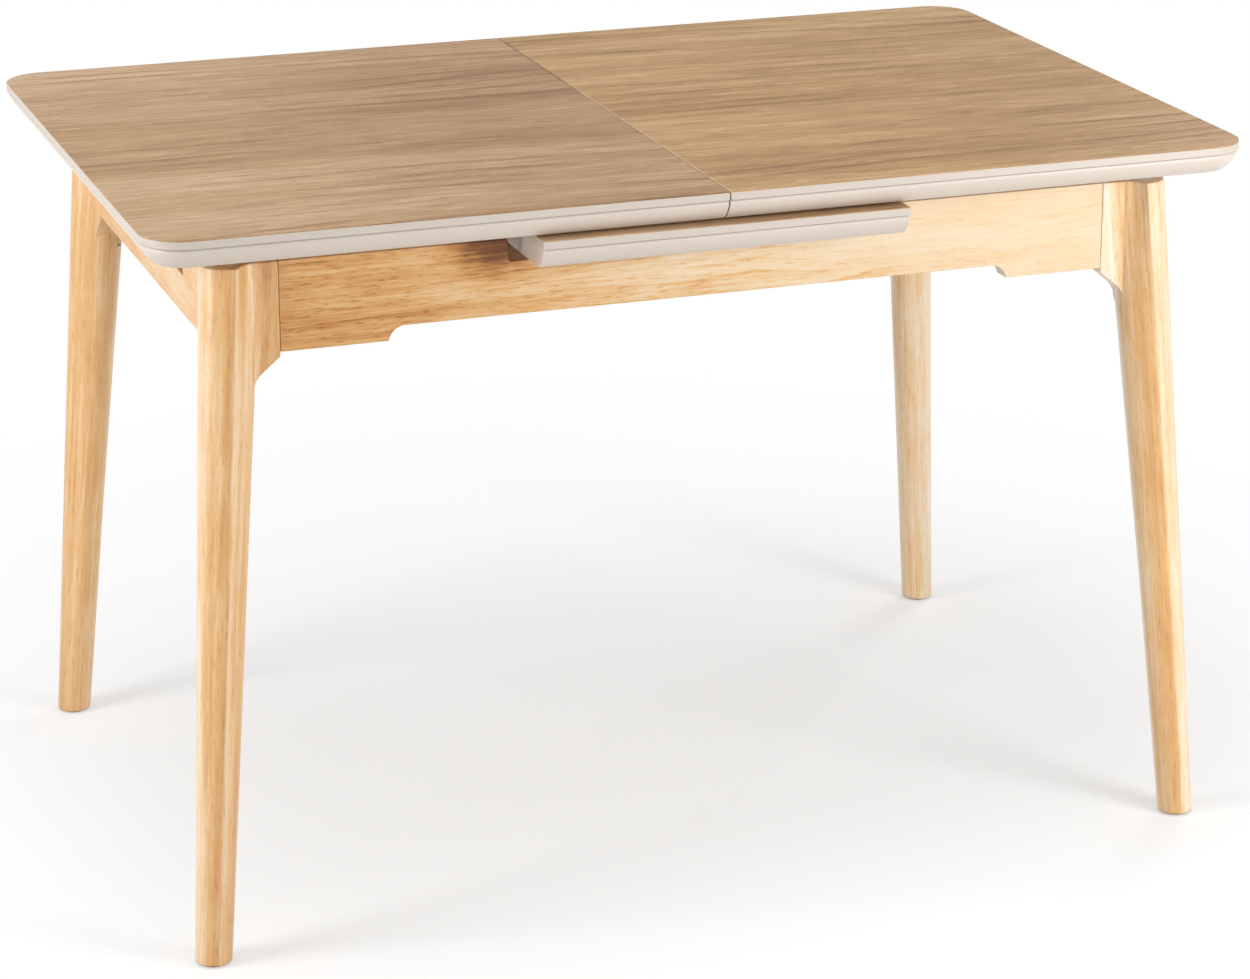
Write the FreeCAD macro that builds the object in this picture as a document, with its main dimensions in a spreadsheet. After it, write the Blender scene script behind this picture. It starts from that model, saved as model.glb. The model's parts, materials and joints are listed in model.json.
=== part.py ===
"""Extending table: a fixed frame, two sliding half tops and a leaf stored crosswise under their joint.

Millimetres. X runs along the table, Y from the front to the back and Z up. The origin is on the
floor, under the middle of the table.
"""
import FreeCAD, Part
import math
import os
import Sketcher

V = FreeCAD.Vector
doc = FreeCAD.newDocument("extending_table")

# Driving sizes: name, value in millimetres (or degrees, or a count), meaning
SIZES = [
    ("table_length", 1150.0, "closed top, end to end"),
    ("table_depth", 750.0, "top, front to back"),
    ("table_height", 745.0, "floor to top face"),
    ("joint_gap", 1.4, "slit between the closed half tops"),
    ("top_thick", 30.0, "board and veneer together"),
    ("veneer_thick", 0.8, "oak veneer"),
    ("veneer_inset", 0.4, "veneer back from the board's edge"),
    ("corner_radius", 45.0, "top's corners in plan"),
    ("band_height", 9.0, "upright band under the top face"),
    ("quirk_depth", 3.6, "step in under the band"),
    ("nose_depth", 2.8, "set-back of the moulding's nose"),
    ("nose_height", 5.5, "height of the nose"),
    ("nose_radius", 6.5, "roundness of the nose"),
    ("bevel_radius", 34.0, "roundness of the moulding's long bevel"),
    ("under_inset", 16.5, "set-back of the underside's edge"),
    ("slide_gap", 15.0, "half tops above the frame"),
    ("leaf_width", 383.0, "leaf along the table"),
    ("leaf_gap", 2.5, "leaf under the half tops"),
    ("apron_setback", 65.0, "front and rear aprons in from the top's edge"),
    ("end_setback", 80.0, "end aprons in from the top's ends"),
    ("apron_thick", 22.0, "apron board"),
    ("apron_height", 91.0, "apron board"),
    ("apron_seam", 0.3, "slit between an apron and a leg"),
    ("recess_length", 657.0, "raised middle of the long apron, at its foot"),
    ("recess_run", 16.8, "length of the curved step"),
    ("recess_height", 14.3, "rise of the curved step"),
    ("recess_radius", 17.0, "radius of the curved step"),
    ("notch_play", 15.5, "leaf notch in the long aprons, beside the leaf"),
    ("notch_depth", 23.0, "leaf notch in the long aprons"),
    ("notch_radius", 3.5, "leaf notch's lower corners"),
    ("wing_reach", 58.5, "leg's wing, from the corner to the apron"),
    ("wing_thick", 25.0, "leg's wing"),
    ("wing_drop", 5.0, "wing end below the apron"),
    ("wing_web", 1.8, "fill in the corner between the two wings"),
    ("hollow_reach", 29.0, "deepest place of the hollow under the wing, from the corner"),
    ("hollow_radius", 33.0, "hollow under the wing"),
    ("hollow_slope", 40.0, "degrees, slope of the wing's lower edge"),
    ("cove_reach", 32.5, "cove's edge from the corner"),
    ("cove_hollow", 3.0, "depth of the cove across its chord, at the top"),
    ("column_inset", 14.0, "leg's axis in from the wing's face, at the top"),
    ("column_radius", 29.5, "rounded column at the top"),
    ("foot_radius", 18.4, "rounded column at the floor"),
    ("splay", 49.5, "leg's axis outwards from top to floor, each way"),
    ("crest_turn", 4.0, "degrees, where the round starts"),
    ("facet_turn", 77.5, "degrees, where the facet ends"),
    ("facet_bulge", 1.6, "roundness of the facet across its chord, under the wing"),
    ("heel_depth", 30.0, "leg's inner corner from its axis, under the wing"),
    ("foot_chamfer", 1.5, "foot's edge"),
    ("glide_radius", 13.0, "foot glide"),
    ("glide_proud", 2.0, "foot glide's disc"),
    ("nail_radius", 1.5, "nail of a glide or a button"),
    ("nail_length", 14.0, "nail of a glide or a button"),
    ("block_gap", 14.0, "corner block to the leg"),
    ("block_thick", 28.0, "corner block"),
    ("block_height", 60.0, "corner block"),
    ("block_drop", 10.0, "corner block below the frame's top"),
    ("bolt_radius", 4.0, "hanger bolt"),
    ("bolt_bite", 35.0, "hanger bolt in the leg"),
    ("bolt_tail", 5.0, "hanger bolt past its nut"),
    ("bolt_play", 0.4, "hanger bolt in the block's hole"),
    ("washer_radius", 11.0, "hanger bolt's washer"),
    ("washer_thick", 2.0, "hanger bolt's washer"),
    ("nut_across", 13.0, "hanger bolt's nut across its flats"),
    ("nut_thick", 6.5, "hanger bolt's nut"),
    ("fit_play", 0.1, "fixed fastener or dowel in its hole"),
    ("dowel_radius", 4.0, "wooden dowel"),
    ("dowel_length", 36.0, "dowel between an apron and a leg"),
    ("dowel_low", 22.0, "lower dowel above the apron's foot"),
    ("dowel_pitch", 40.0, "dowel to dowel"),
    ("dowel_room", 0.5, "dowel's hole past its end"),
    ("screw_radius", 2.2, "wood screw"),
    ("head_radius", 4.4, "wood screw's head"),
    ("head_height", 3.0, "wood screw's head"),
    ("screw_bite", 14.0, "wood screw in the piece that it holds to"),
    ("screw_pitch", 34.0, "corner block's screws, one above the other"),
    ("cross_rail_centre", 165.0, "cross rail from the middle of the table"),
    ("cross_rail_width", 44.0, "cross rail"),
    ("cross_rail_height", 26.0, "cross rail"),
    ("cross_rail_lift", 0.7, "cross rail above the long apron's raised foot"),
    ("cross_dowel_pitch", 22.0, "cross rail's two dowels"),
    ("cross_dowel_length", 34.0, "cross rail's dowel"),
    ("cross_dowel_bite", 13.2, "cross rail's dowel in the apron"),
    ("guide_centre", 117.0, "guide rail from the middle of the table"),
    ("guide_width", 26.0, "guide rail"),
    ("guide_height", 30.0, "guide rail"),
    ("guide_groove_height", 8.8, "groove in the guide rail"),
    ("guide_groove_depth", 6.0, "groove in the guide rail"),
    ("slide_play", 0.5, "runner beside its guide rail"),
    ("tongue_play", 0.4, "runner's tongue in the groove, above and below"),
    ("runner_width", 24.0, "runner"),
    ("runner_lift", 2.5, "runner above the cross rail"),
    ("runner_drop", 1.0, "runner's top below the guide rail's top"),
    ("runner_end_gap", 10.0, "runner's outer end inside the end apron"),
    ("runner_reach", 100.0, "runner past the middle of the table"),
    ("spacer_gap", 11.5, "spacer's inner end to the leaf's pins"),
    ("gate_play", 2.5, "runner in the end apron's gate"),
    ("leaf_room", 6.4, "fully opened gap past the leaf and its pins"),
    ("tongue_gap", 3.0, "tongue's outer end to the end apron when fully open"),
    ("stop_play", 0.5, "stop block to the cross rail when fully open"),
    ("stop_length", 40.0, "stop block"),
    ("stop_height", 14.0, "stop block"),
    ("runner_screw_inset", 18.0, "outer screws from the spacer's ends"),
    ("runner_bore_radius", 5.0, "counterbore in the runner"),
    ("runner_bore_depth", 16.0, "counterbore in the runner"),
    ("pin_radius", 4.0, "alignment pin"),
    ("pin_length", 24.0, "alignment pin"),
    ("pin_pitch", 250.0, "alignment pins"),
    ("pin_play", 0.3, "alignment pin in the other half's hole"),
    ("pin_room", 2.0, "hole past the pin's end"),
    ("button_radius", 10.0, "leaf rest button"),
    ("button_thick", 2.2, "leaf rest button"),
    ("button_place", 150.0, "leaf rest button from the middle"),
    ("cut_over", 5.0, "overrun of every cut"),
]

# Where the leg's inner corner starts to grow, as a share of the height where the wings begin
heel_start_share = 0.45

sheet = doc.addObject("Spreadsheet::Sheet", "Sizes")
for row, (alias, value, meaning) in enumerate(SIZES, 1):
    sheet.set(f"A{row}", alias)
    sheet.set(f"B{row}", str(value))
    sheet.set(f"C{row}", meaning)
    sheet.setAlias(f"B{row}", alias)
doc.recompute()


class Rule:
    """A size worked out from the sheet: its number now, and the rule that keeps it tied."""

    def __init__(self, number, text):
        self.number = float(number)
        self.text = text

    def __float__(self):
        return self.number

    def join(self, sign, other, number):
        text = other.text if isinstance(other, Rule) else f"({float(other)!r})"
        return Rule(number, f"({self.text} {sign} {text})")

    def __add__(self, other):
        return self.join("+", other, self.number + float(other))

    def __sub__(self, other):
        return self.join("-", other, self.number - float(other))

    def __mul__(self, other):
        return self.join("*", other, self.number * float(other))

    def __truediv__(self, other):
        return self.join("/", other, self.number / float(other))

    def __neg__(self):
        return Rule(-self.number, f"(-{self.text})")

    __radd__ = __add__
    __rmul__ = __mul__


class Namespace:
    """The sheet's sizes, each as an attribute."""


size = Namespace()
for alias, value, meaning in SIZES:
    setattr(size, alias, Rule(sheet.get(alias), f"Sizes.{alias}"))
ZERO = Rule(0, "0")
TINY = 1e-9
ROOT_HALF = math.sqrt(0.5)

# Levels and faces that several pieces share
half_length = size.table_length / 2
half_depth = size.table_depth / 2
top_under = size.table_height - size.top_thick
board_top = size.table_height - size.veneer_thick
frame_top = top_under - size.slide_gap
apron_foot = frame_top - size.apron_height
face_y = half_depth - size.apron_setback
face_x = half_length - size.end_setback
inner_y = face_y - size.apron_thick
inner_x = face_x - size.apron_thick
seam_x = face_x - size.wing_reach
seam_y = face_y - size.wing_reach
recess_top = apron_foot + size.recess_height
notch_floor = frame_top - size.notch_depth
cross_foot = recess_top + size.cross_rail_lift
guide_foot = cross_foot + size.cross_rail_height
guide_top = guide_foot + size.guide_height
runner_foot = guide_foot + size.runner_lift
runner_top = guide_top - size.runner_drop
leaf_top = top_under - size.leaf_gap
leaf_foot = leaf_top - size.top_thick
leaf_half = size.leaf_width / 2
travel = (size.leaf_width + size.pin_length / 2 + size.leaf_room - size.joint_gap) / 2
spacer_start = leaf_half + size.pin_length / 2 + size.spacer_gap
pin_level = top_under + (size.top_thick - size.veneer_thick) / 2
leaf_pin_level = leaf_foot + (size.top_thick - size.veneer_thick) / 2
bolt_level = frame_top - size.block_drop - size.block_height / 2

parts = []


def bind(item, **rules):
    """Tie properties to the sheet; a double underscore in a name stands for a dot."""
    for name, rule in rules.items():
        item.setExpression(name.replace("__", "."), rule.text)
    return item


def put(item, x, y, z):
    """Tie an object's place to the sheet."""
    return bind(item, Placement__Base__x=x + ZERO, Placement__Base__y=y + ZERO, Placement__Base__z=z + ZERO)


def keep(item, node):
    """Name an object as a finished piece."""
    item.Label = node
    parts.append(item)
    return item


def add(kind, name):
    return doc.addObject(kind, name)


def box(low, high, name="Block"):
    """A rectangular block between two corners."""
    item = add("Part::Box", name)
    bind(item, Length=high[0] - low[0], Width=high[1] - low[1], Height=high[2] - low[2])
    return put(item, *low)


def rod(start, direction, radius, length, name="Rod"):
    """A cylinder from a point along a direction."""
    item = add("Part::Cylinder", name)
    item.Placement.Rotation = FreeCAD.Rotation(V(0, 0, 1), V(*direction))
    bind(item, Radius=radius, Height=length)
    return put(item, *start)


def cone(start, direction, radius, tip, length, name="Cone"):
    """A cone from a point along a direction."""
    item = add("Part::Cone", name)
    item.Placement.Rotation = FreeCAD.Rotation(V(0, 0, 1), V(*direction))
    bind(item, Radius1=radius, Radius2=tip, Height=length)
    return put(item, *start)


def fuse(items, name="Joined"):
    item = add("Part::MultiFuse", name)
    item.Shapes = items
    return item


def cut(base, tools, name="Carved"):
    """A body less its tools."""
    item = add("Part::Cut", name)
    item.Base = base
    item.Tool = tools[0] if len(tools) == 1 else fuse(tools)
    return item


def group(items, name="Group"):
    """Several separate solids in one node."""
    item = add("Part::Compound", name)
    item.Links = items
    return item


def mirror(source, normal, name="Mirrored"):
    """A copy mirrored in a plane through the origin."""
    item = add("Part::Mirroring", name)
    item.Source = source
    item.Normal = V(*normal)
    return item


def solid(shape, name="Shaped"):
    item = add("Part::Feature", name)
    item.Shape = shape
    return item


def along(point, direction, distance):
    """The point at a distance from another along a direction."""
    return tuple(p + distance * d if d else p + ZERO for p, d in zip(point, direction))


def arc_centre(p, q, radius, side):
    """The centre of an arc from p to q, on the left (1) or the right (-1) of that way."""
    run = (q[0] - p[0], q[1] - p[1])
    chord = math.hypot(*run)
    rise = math.sqrt(max(radius ** 2 - (chord / 2) ** 2, 0)) * side
    return ((p[0] + q[0]) / 2 - run[1] / chord * rise, (p[1] + q[1]) / 2 + run[0] / chord * rise)


def sketch(points, arcs=None, closed=True, name="Outline"):
    """A sketch through tied points; arcs maps a segment's number to its radius and centre side."""
    arcs = arcs or {}
    item = add("Sketcher::SketchObject", name)
    corners = [(float(x), float(y)) for x, y in points]
    count = len(points) if closed else len(points) - 1
    ends = []
    for i in range(count):
        p, q = corners[i], corners[(i + 1) % len(points)]
        if i not in arcs:
            geo = item.addGeometry(Part.LineSegment(V(*p, 0), V(*q, 0)), False)
            ends.append((geo, 1, 2))
            continue
        radius, side = arcs[i]
        c = arc_centre(p, q, float(radius), side)
        start, stop = (p, q) if side > 0 else (q, p)
        low = math.atan2(start[1] - c[1], start[0] - c[0])
        high = math.atan2(stop[1] - c[1], stop[0] - c[0])
        circle = Part.Circle(V(*c, 0), V(0, 0, 1), float(radius))
        if high < low:
            high += 2 * math.pi
        geo = item.addGeometry(Part.ArcOfCircle(circle, low, high), False)
        ends.append((geo, 1, 2) if side > 0 else (geo, 2, 1))
        number = item.addConstraint(Sketcher.Constraint("Radius", geo, float(radius)))
        item.setExpression(f"Constraints[{number}]", radius.text)
    for i, (geo, _, last) in enumerate(ends):
        if closed or i + 1 < count:
            after = ends[(i + 1) % count]
            item.addConstraint(Sketcher.Constraint("Coincident", geo, last, after[0], after[1]))
    spots = [(ends[i][0], ends[i][1]) for i in range(count)]
    if not closed:
        spots.append((ends[-1][0], ends[-1][2]))
    for (geo, end), point, corner in zip(spots, points, corners):
        for kind, axis, rule, number in zip(("DistanceX", "DistanceY"), (-2, -1), point, corner):
            if abs(number) < TINY:
                item.addConstraint(Sketcher.Constraint("PointOnObject", geo, end, axis))
                continue
            made = item.addConstraint(Sketcher.Constraint(kind, -1, 1, geo, end, number))
            item.setExpression(f"Constraints[{made}]", rule.text)
    return item


def stand(item, x=ZERO, y=ZERO, z=ZERO, side=None):
    """Set a sketch in the XY plane, in the XZ plane (side front) or in the YZ plane (side end)."""
    if side == "front":
        item.Placement.Rotation = FreeCAD.Rotation(V(1, 0, 0), 90)
    if side == "end":
        item.Placement.Rotation = FreeCAD.Rotation(V(0, 1, 0), V(0, 0, 1), V(1, 0, 0))
    return put(item, x, y, z)


def extrude(base, direction, length, name="Extruded"):
    item = add("Part::Extrusion", name)
    item.Base = base
    item.DirMode = "Custom"
    item.Dir = V(*direction)
    item.Solid = True
    return bind(item, LengthFwd=length)


# Half tops and the leaf

def half_plan(inset, name):
    """The left half top's outline in plan, set back from the edge by an inset."""
    front = half_depth - inset
    end = half_length - inset
    radius = size.corner_radius - inset
    joint = size.joint_gap / 2
    points = [(-joint, -front), (-joint, front), (-(end - radius), front), (-end, front - radius),
              (-end, -(front - radius)), (-(end - radius), -front)]
    return sketch(points, {2: (radius, 1), 4: (radius, 1)}, name=name)


def edge_section(level, reach, name):
    """What the moulding takes off a straight edge: reach is the edge's distance from the middle."""
    band = level - size.band_height
    under = level - size.top_thick
    nose = band - size.nose_height
    outside = reach + size.cut_over
    points = [(-outside, band), (-(reach - size.quirk_depth), band), (-(reach - size.nose_depth), nose),
              (-(reach - size.under_inset), under), (-(reach - size.under_inset), under - size.cut_over),
              (-outside, under - size.cut_over)]
    return sketch(points, {1: (size.nose_radius, 1), 2: (size.bevel_radius, 1)}, name=name)


def half_board():
    """The left half top's board with its moulded edge."""
    plan = stand(half_plan(ZERO, "BoardPlan"), z=top_under)
    blank = extrude(plan, (0, 0, 1), size.top_thick - size.veneer_thick)
    corner_x = half_length - size.corner_radius
    corner_y = half_depth - size.corner_radius
    joint = size.joint_gap / 2 - size.cut_over
    track = [(-joint, -half_depth), (-corner_x, -half_depth), (-half_length, -corner_y),
             (-half_length, corner_y), (-corner_x, half_depth), (-joint, half_depth)]
    arcs = {1: (size.corner_radius, -1), 3: (size.corner_radius, -1)}
    path = stand(sketch(track, arcs, closed=False, name="EdgePath"), z=board_top)
    section = stand(edge_section(size.table_height, half_depth, "EdgeSection"), x=-joint, side="end")
    sweep = add("Part::Sweep", "EdgeCut")
    sweep.Sections = [section]
    sweep.Spine = (path, [f"Edge{i}" for i in range(1, len(track))])
    sweep.Solid = True
    return cut(blank, [sweep], "BoardLeft")


def pin_rods(x, level, length):
    """Three pins that start at a place along the table and point to the right."""
    return [rod((x, size.pin_pitch * k, level), (1, 0, 0), size.pin_radius, length) for k in (-1, 0, 1)]


def pin_bores(x, level):
    """Three holes with play for the pins, to the left of a face."""
    depth = size.pin_length / 2 + size.pin_room
    return [rod((x, size.pin_pitch * k, level), (-1, 0, 0), size.pin_radius + size.pin_play, depth)
            for k in (-1, 0, 1)]


def make_half_tops():
    """Both half tops: boards, veneers and the alignment pins."""
    left = half_board()
    right = mirror(half_board(), (1, 0, 0), "BoardRight")
    joint = size.joint_gap / 2
    bores = pin_bores(-joint, pin_level)
    seats = pin_rods(joint, pin_level, size.pin_length / 2)
    pilots = {}
    for side in (-1, 1):
        pilots[side] = [rod((x, y, top_under - size.cut_over), (0, 0, 1), size.screw_radius,
                            size.screw_bite + size.cut_over) for x, y in runner_screw_places(side)]
    keep(cut(left, bores + pilots[-1]), "top_board_left")
    keep(cut(right, seats + pilots[1]), "top_board_right")
    plan = stand(half_plan(size.veneer_inset, "VeneerPlan"), z=board_top)
    veneer = keep(extrude(plan, (0, 0, 1), size.veneer_thick), "top_veneer_left")
    keep(mirror(veneer, (1, 0, 0)), "top_veneer_right")
    keep(group(pin_rods(joint - size.pin_length / 2, pin_level, size.pin_length)), "alignment_pins")


def make_leaf():
    """The stored leaf: its board has the same moulding at the front and the rear, and plain sides."""
    blank = box((-leaf_half, -half_depth, leaf_foot), (leaf_half, half_depth, leaf_top - size.veneer_thick))
    cuts = []
    for turned in (False, True):
        section = edge_section(leaf_top, half_depth, "LeafEdge")
        stand(section, x=-leaf_half - size.cut_over, side="end")
        bar = extrude(section, (1, 0, 0), size.leaf_width + size.cut_over * 2)
        cuts.append(mirror(bar, (0, 1, 0)) if turned else bar)
    bores = pin_bores(leaf_half, leaf_pin_level)
    seats = pin_rods(-leaf_half, leaf_pin_level, size.pin_length / 2)
    keep(cut(blank, cuts + bores + seats), "leaf_board")
    side = leaf_half - size.veneer_inset
    edge = half_depth - size.veneer_inset
    keep(box((-side, -edge, leaf_top - size.veneer_thick), (side, edge, leaf_top)), "leaf_veneer")
    pins = pin_rods(-leaf_half - size.pin_length / 2, leaf_pin_level, size.pin_length)
    keep(group(pins), "leaf_pins")


# Legs

def leg_section(z):
    """The front left leg's section at a height, from its corner: two rounds and two flatter facets."""
    root, top = float(hollow_centre()[1]), float(frame_top)
    radius = float(size.foot_radius) + float(size.column_radius - size.foot_radius) * z / top
    drift = float(size.column_inset) - float(size.splay) * (1 - z / top)
    axis = V(drift, drift, z)
    rise = max(z - root, 0) / (top - root)

    def around(degrees):
        turn = math.radians(degrees)
        return axis + V(math.sin(turn), -math.cos(turn), 0) * radius

    def flip(p):
        return V(p.y, p.x, z)

    def bulged(p, q, bulge):
        middle = (p + q) / 2
        return middle + (middle - axis).normalize() * bulge

    crest = around(float(size.crest_turn))
    facet = around(float(size.facet_turn))
    facet += (V(float(size.cove_reach), 0, z) - facet) * rise
    round_bulge = radius * (1 - math.cos(math.radians(float(size.facet_turn - size.crest_turn)) / 2))
    bulge = round_bulge + (float(size.facet_bulge) - round_bulge) * min(z / root, 1)
    bulge -= (float(size.facet_bulge) + float(size.cove_hollow)) * rise
    start = heel_start_share * root
    depth = radius + (float(size.heel_depth) - radius) * min(max(z - start, 0) / (root - start), 1)
    heel = axis + V(ROOT_HALF, ROOT_HALF, 0) * depth
    outer = axis - V(ROOT_HALF, ROOT_HALF, 0) * radius
    middle = bulged(crest, facet, bulge)
    edges = [Part.Arc(crest, middle, facet), Part.Arc(facet, heel, flip(facet)),
             Part.Arc(flip(facet), flip(middle), flip(crest)), Part.Arc(flip(crest), outer, crest)]
    return Part.Wire([edge.toShape() for edge in edges])


def hollow_centre():
    """The centre of the hollow under the front wing: X from the leg's corner, and Z."""
    slope = math.radians(float(size.hollow_slope))
    reach = size.hollow_reach + size.hollow_radius
    run = size.hollow_radius * math.sin(slope) + size.wing_reach - reach
    drop = run * math.tan(slope) + size.hollow_radius * math.cos(slope)
    return reach, apron_foot - size.wing_drop - drop


def wing_block():
    """The leg's two wings with the web between them, and the hollows under the wings."""
    reach, thick, over, radius = (float(value) for value in (
        size.wing_reach, size.wing_thick, size.cut_over, size.hollow_radius))
    centre_x, centre_z = (float(c) for c in hollow_centre())
    web = thick + float(size.wing_web)
    steps = [(0, 0), (reach, 0), (reach, thick), (web, thick), (thick, web), (thick, reach), (0, reach)]
    plan = [V(across, inward, centre_z) for across, inward in steps]
    block = Part.Face(Part.makePolygon(plan + plan[:1])).extrude(V(0, 0, float(frame_top) - centre_z))
    slope = math.radians(float(size.hollow_slope))

    def spot(turn):
        return V(centre_x - radius * math.sin(turn), -over, centre_z + radius * math.cos(turn))

    end = V(reach + over, -over, float(apron_foot - size.wing_drop) + over * math.tan(slope))
    low = centre_z - over
    corners = [spot(slope), end, V(end.x, end.y, low), V(centre_x - radius, end.y, low), spot(math.pi / 2)]
    outline = [Part.Arc(corners[-1], spot((slope + math.pi / 2) / 2), corners[0]).toShape()]
    outline += [Part.makeLine(p, q) for p, q in zip(corners, corners[1:])]
    tool = Part.Face(Part.Wire(outline)).extrude(V(0, reach + 2 * over, 0))
    turned = tool.mirror(V(0, 0, 0), V(1, -1, 0))
    return block.cut(tool).cut(turned)


def leg_shape():
    """The front left leg before its holes, with its corner at the origin."""
    wing_root = float(hollow_centre()[1])
    levels = [float(size.glide_proud), heel_start_share * wing_root, wing_root, float(frame_top)]
    column = Part.makeLoft([leg_section(z) for z in levels], True, True)
    foot = [edge for edge in column.Edges if edge.BoundBox.ZMax < levels[0] + float(size.fit_play)]
    column = column.makeChamfer(float(size.foot_chamfer), foot)
    return column.fuse(wing_block()).removeSplitter()


def end_room(play):
    """A dowel fills its length, and its hole goes on past each end."""
    return ZERO if play is ZERO else size.dowel_room


def leg_dowels(play):
    """The four dowels of the front left leg, or their holes when play isn't zero."""
    made = []
    half = size.dowel_length / 2 + end_room(play)
    mid = size.apron_thick / 2
    radius = size.dowel_radius + play
    for level in (apron_foot + size.dowel_low, apron_foot + size.dowel_low + size.dowel_pitch):
        made.append(rod((-seam_x - half, -face_y + mid, level), (1, 0, 0), radius, half * 2))
        made.append(rod((-face_x + mid, -seam_y - half, level), (0, 1, 0), radius, half * 2))
    return made


def leg_heel():
    """The leg's inner corner at the bolt's level, from the frame's corner along the diagonal."""
    drift = size.column_inset - size.splay * (frame_top - bolt_level) / frame_top
    return drift / ROOT_HALF + size.heel_depth


def diagonal(distance):
    """A point at a distance from the front left corner, inwards on the diagonal, at the bolt's level."""
    return (-face_x + distance * ROOT_HALF, -face_y + distance * ROOT_HALF, bolt_level)


def four_ways(item, nodes):
    """Keep a front left piece and its three mirrored copies."""
    keep(item, nodes[0])
    right = keep(mirror(item, (1, 0, 0)), nodes[1])
    keep(mirror(item, (0, 1, 0)), nodes[2])
    keep(mirror(right, (0, 1, 0)), nodes[3])


def four_corners(stem):
    return [f"{stem}_{place}" for place in ("front_left", "front_right", "rear_left", "rear_right")]


def mirrored_set(items, node):
    """One node of front left pieces and their three mirrored copies."""
    near = group(items)
    right = mirror(near, (1, 0, 0))
    keep(group([near, right, mirror(near, (0, 1, 0)), mirror(right, (0, 1, 0))]), node)


def foot_centre():
    out = size.splay - size.column_inset
    return (-(face_x + out), -(face_y + out))


def make_legs():
    """Four legs, their glides, and the dowels that pin the aprons to them."""
    inward = (ROOT_HALF, ROOT_HALF, 0)
    bottom = leg_heel() - size.bolt_bite - size.fit_play
    bolt_hole = rod(diagonal(bottom), inward, size.bolt_radius + size.fit_play,
                    size.bolt_bite + size.cut_over)
    x, y = foot_centre()
    nail = size.glide_proud + size.nail_length
    nail_hole = rod((x, y, ZERO), (0, 0, 1), size.nail_radius + size.fit_play, nail + size.fit_play)
    blank = put(solid(leg_shape(), "LegBlank"), -face_x, -face_y, ZERO)
    leg = cut(blank, [bolt_hole, nail_hole] + leg_dowels(size.fit_play))
    four_ways(leg, four_corners("leg"))
    disc = rod((x, y, ZERO), (0, 0, 1), size.glide_radius, size.glide_proud)
    nail = rod((x, y, ZERO), (0, 0, 1), size.nail_radius, size.glide_proud + size.nail_length)
    four_ways(fuse([disc, nail]), four_corners("glide"))
    mirrored_set(leg_dowels(ZERO), "leg_dowels")


# Frame

def cross_dowels(play):
    """The dowels between the cross rails and the long aprons, or their holes."""
    made = []
    room = end_room(play)
    start = inner_y + size.cross_dowel_bite + room
    for side in (-1, 1):
        for step in (-1, 1):
            x = size.cross_rail_centre * side + size.cross_dowel_pitch / 2 * step
            made.append(rod((x, -start, cross_foot + size.cross_rail_height / 2), (0, 1, 0),
                            size.dowel_radius + play, size.cross_dowel_length + room * 2))
    return made


def long_apron():
    """The front apron: a curved step at each end of its lower edge and the leaf's notch on top."""
    end = seam_x - size.apron_seam
    low = size.recess_length / 2
    high = low - size.recess_run
    notch = leaf_half + size.notch_play
    round_in = notch - size.notch_radius
    floor = notch_floor + size.notch_radius
    points = [(-end, apron_foot), (-low, apron_foot), (-high, recess_top), (high, recess_top),
              (low, apron_foot), (end, apron_foot), (end, frame_top), (notch, frame_top), (notch, floor),
              (round_in, notch_floor), (-round_in, notch_floor), (-notch, floor), (-notch, frame_top),
              (-end, frame_top)]
    arcs = {}
    for side in (1, 3):
        arcs[side] = (size.recess_radius, -1)
    for side in (8, 10):
        arcs[side] = (size.notch_radius, -1)
    outline = stand(sketch(points, arcs, name="LongApron"), y=-inner_y, side="front")
    return extrude(outline, (0, -1, 0), size.apron_thick)


def gates():
    """The end apron's two gates, each from one side to the other in Y: outer at the front."""
    slack = size.gate_play
    outer = size.guide_centre + size.guide_width / 2 + size.slide_play + size.runner_width + slack
    inner = size.guide_centre - size.guide_width / 2 - size.slide_play - size.runner_width - slack
    wide = size.runner_width + slack * 2
    return [(-outer, -outer + wide), (inner, inner + wide)]


def end_apron():
    """The left apron: two open gates that let the runners through."""
    end = seam_y - size.apron_seam
    floor = runner_foot - size.gate_play
    points = [(-end, apron_foot), (end, apron_foot), (end, frame_top)]
    for low, high in reversed(gates()):
        points += [(high, frame_top), (high, floor), (low, floor), (low, frame_top)]
    points.append((-end, frame_top))
    outline = stand(sketch(points, name="EndApron"), x=-face_x, side="end")
    return extrude(outline, (1, 0, 0), size.apron_thick)


def make_aprons():
    dowels = leg_dowels(size.fit_play)
    near = dowels[0::2] + block_screws((0, 1, 0), size.fit_play)
    far = [mirror(hole, (1, 0, 0)) for hole in near]
    front = cut(long_apron(), near + far + cross_dowels(size.fit_play))
    keep(front, "apron_front")
    keep(mirror(front, (0, 1, 0)), "apron_rear")
    near = dowels[1::2] + block_screws((1, 0, 0), size.fit_play)
    far = [mirror(hole, (0, 1, 0)) for hole in near]
    left = keep(cut(end_apron(), near + far), "apron_left")
    keep(mirror(mirror(left, (1, 0, 0)), (0, 1, 0)), "apron_right")


def block_outer():
    """The corner block's near face, from the frame's corner along the diagonal."""
    return leg_heel() + size.block_gap


def block_legs():
    """Where the block's two faces meet an apron's inner face, from the other apron's outer face."""
    root_two = 1 / ROOT_HALF
    near = block_outer() * root_two - size.apron_thick
    return near, near + size.block_thick * root_two


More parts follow.
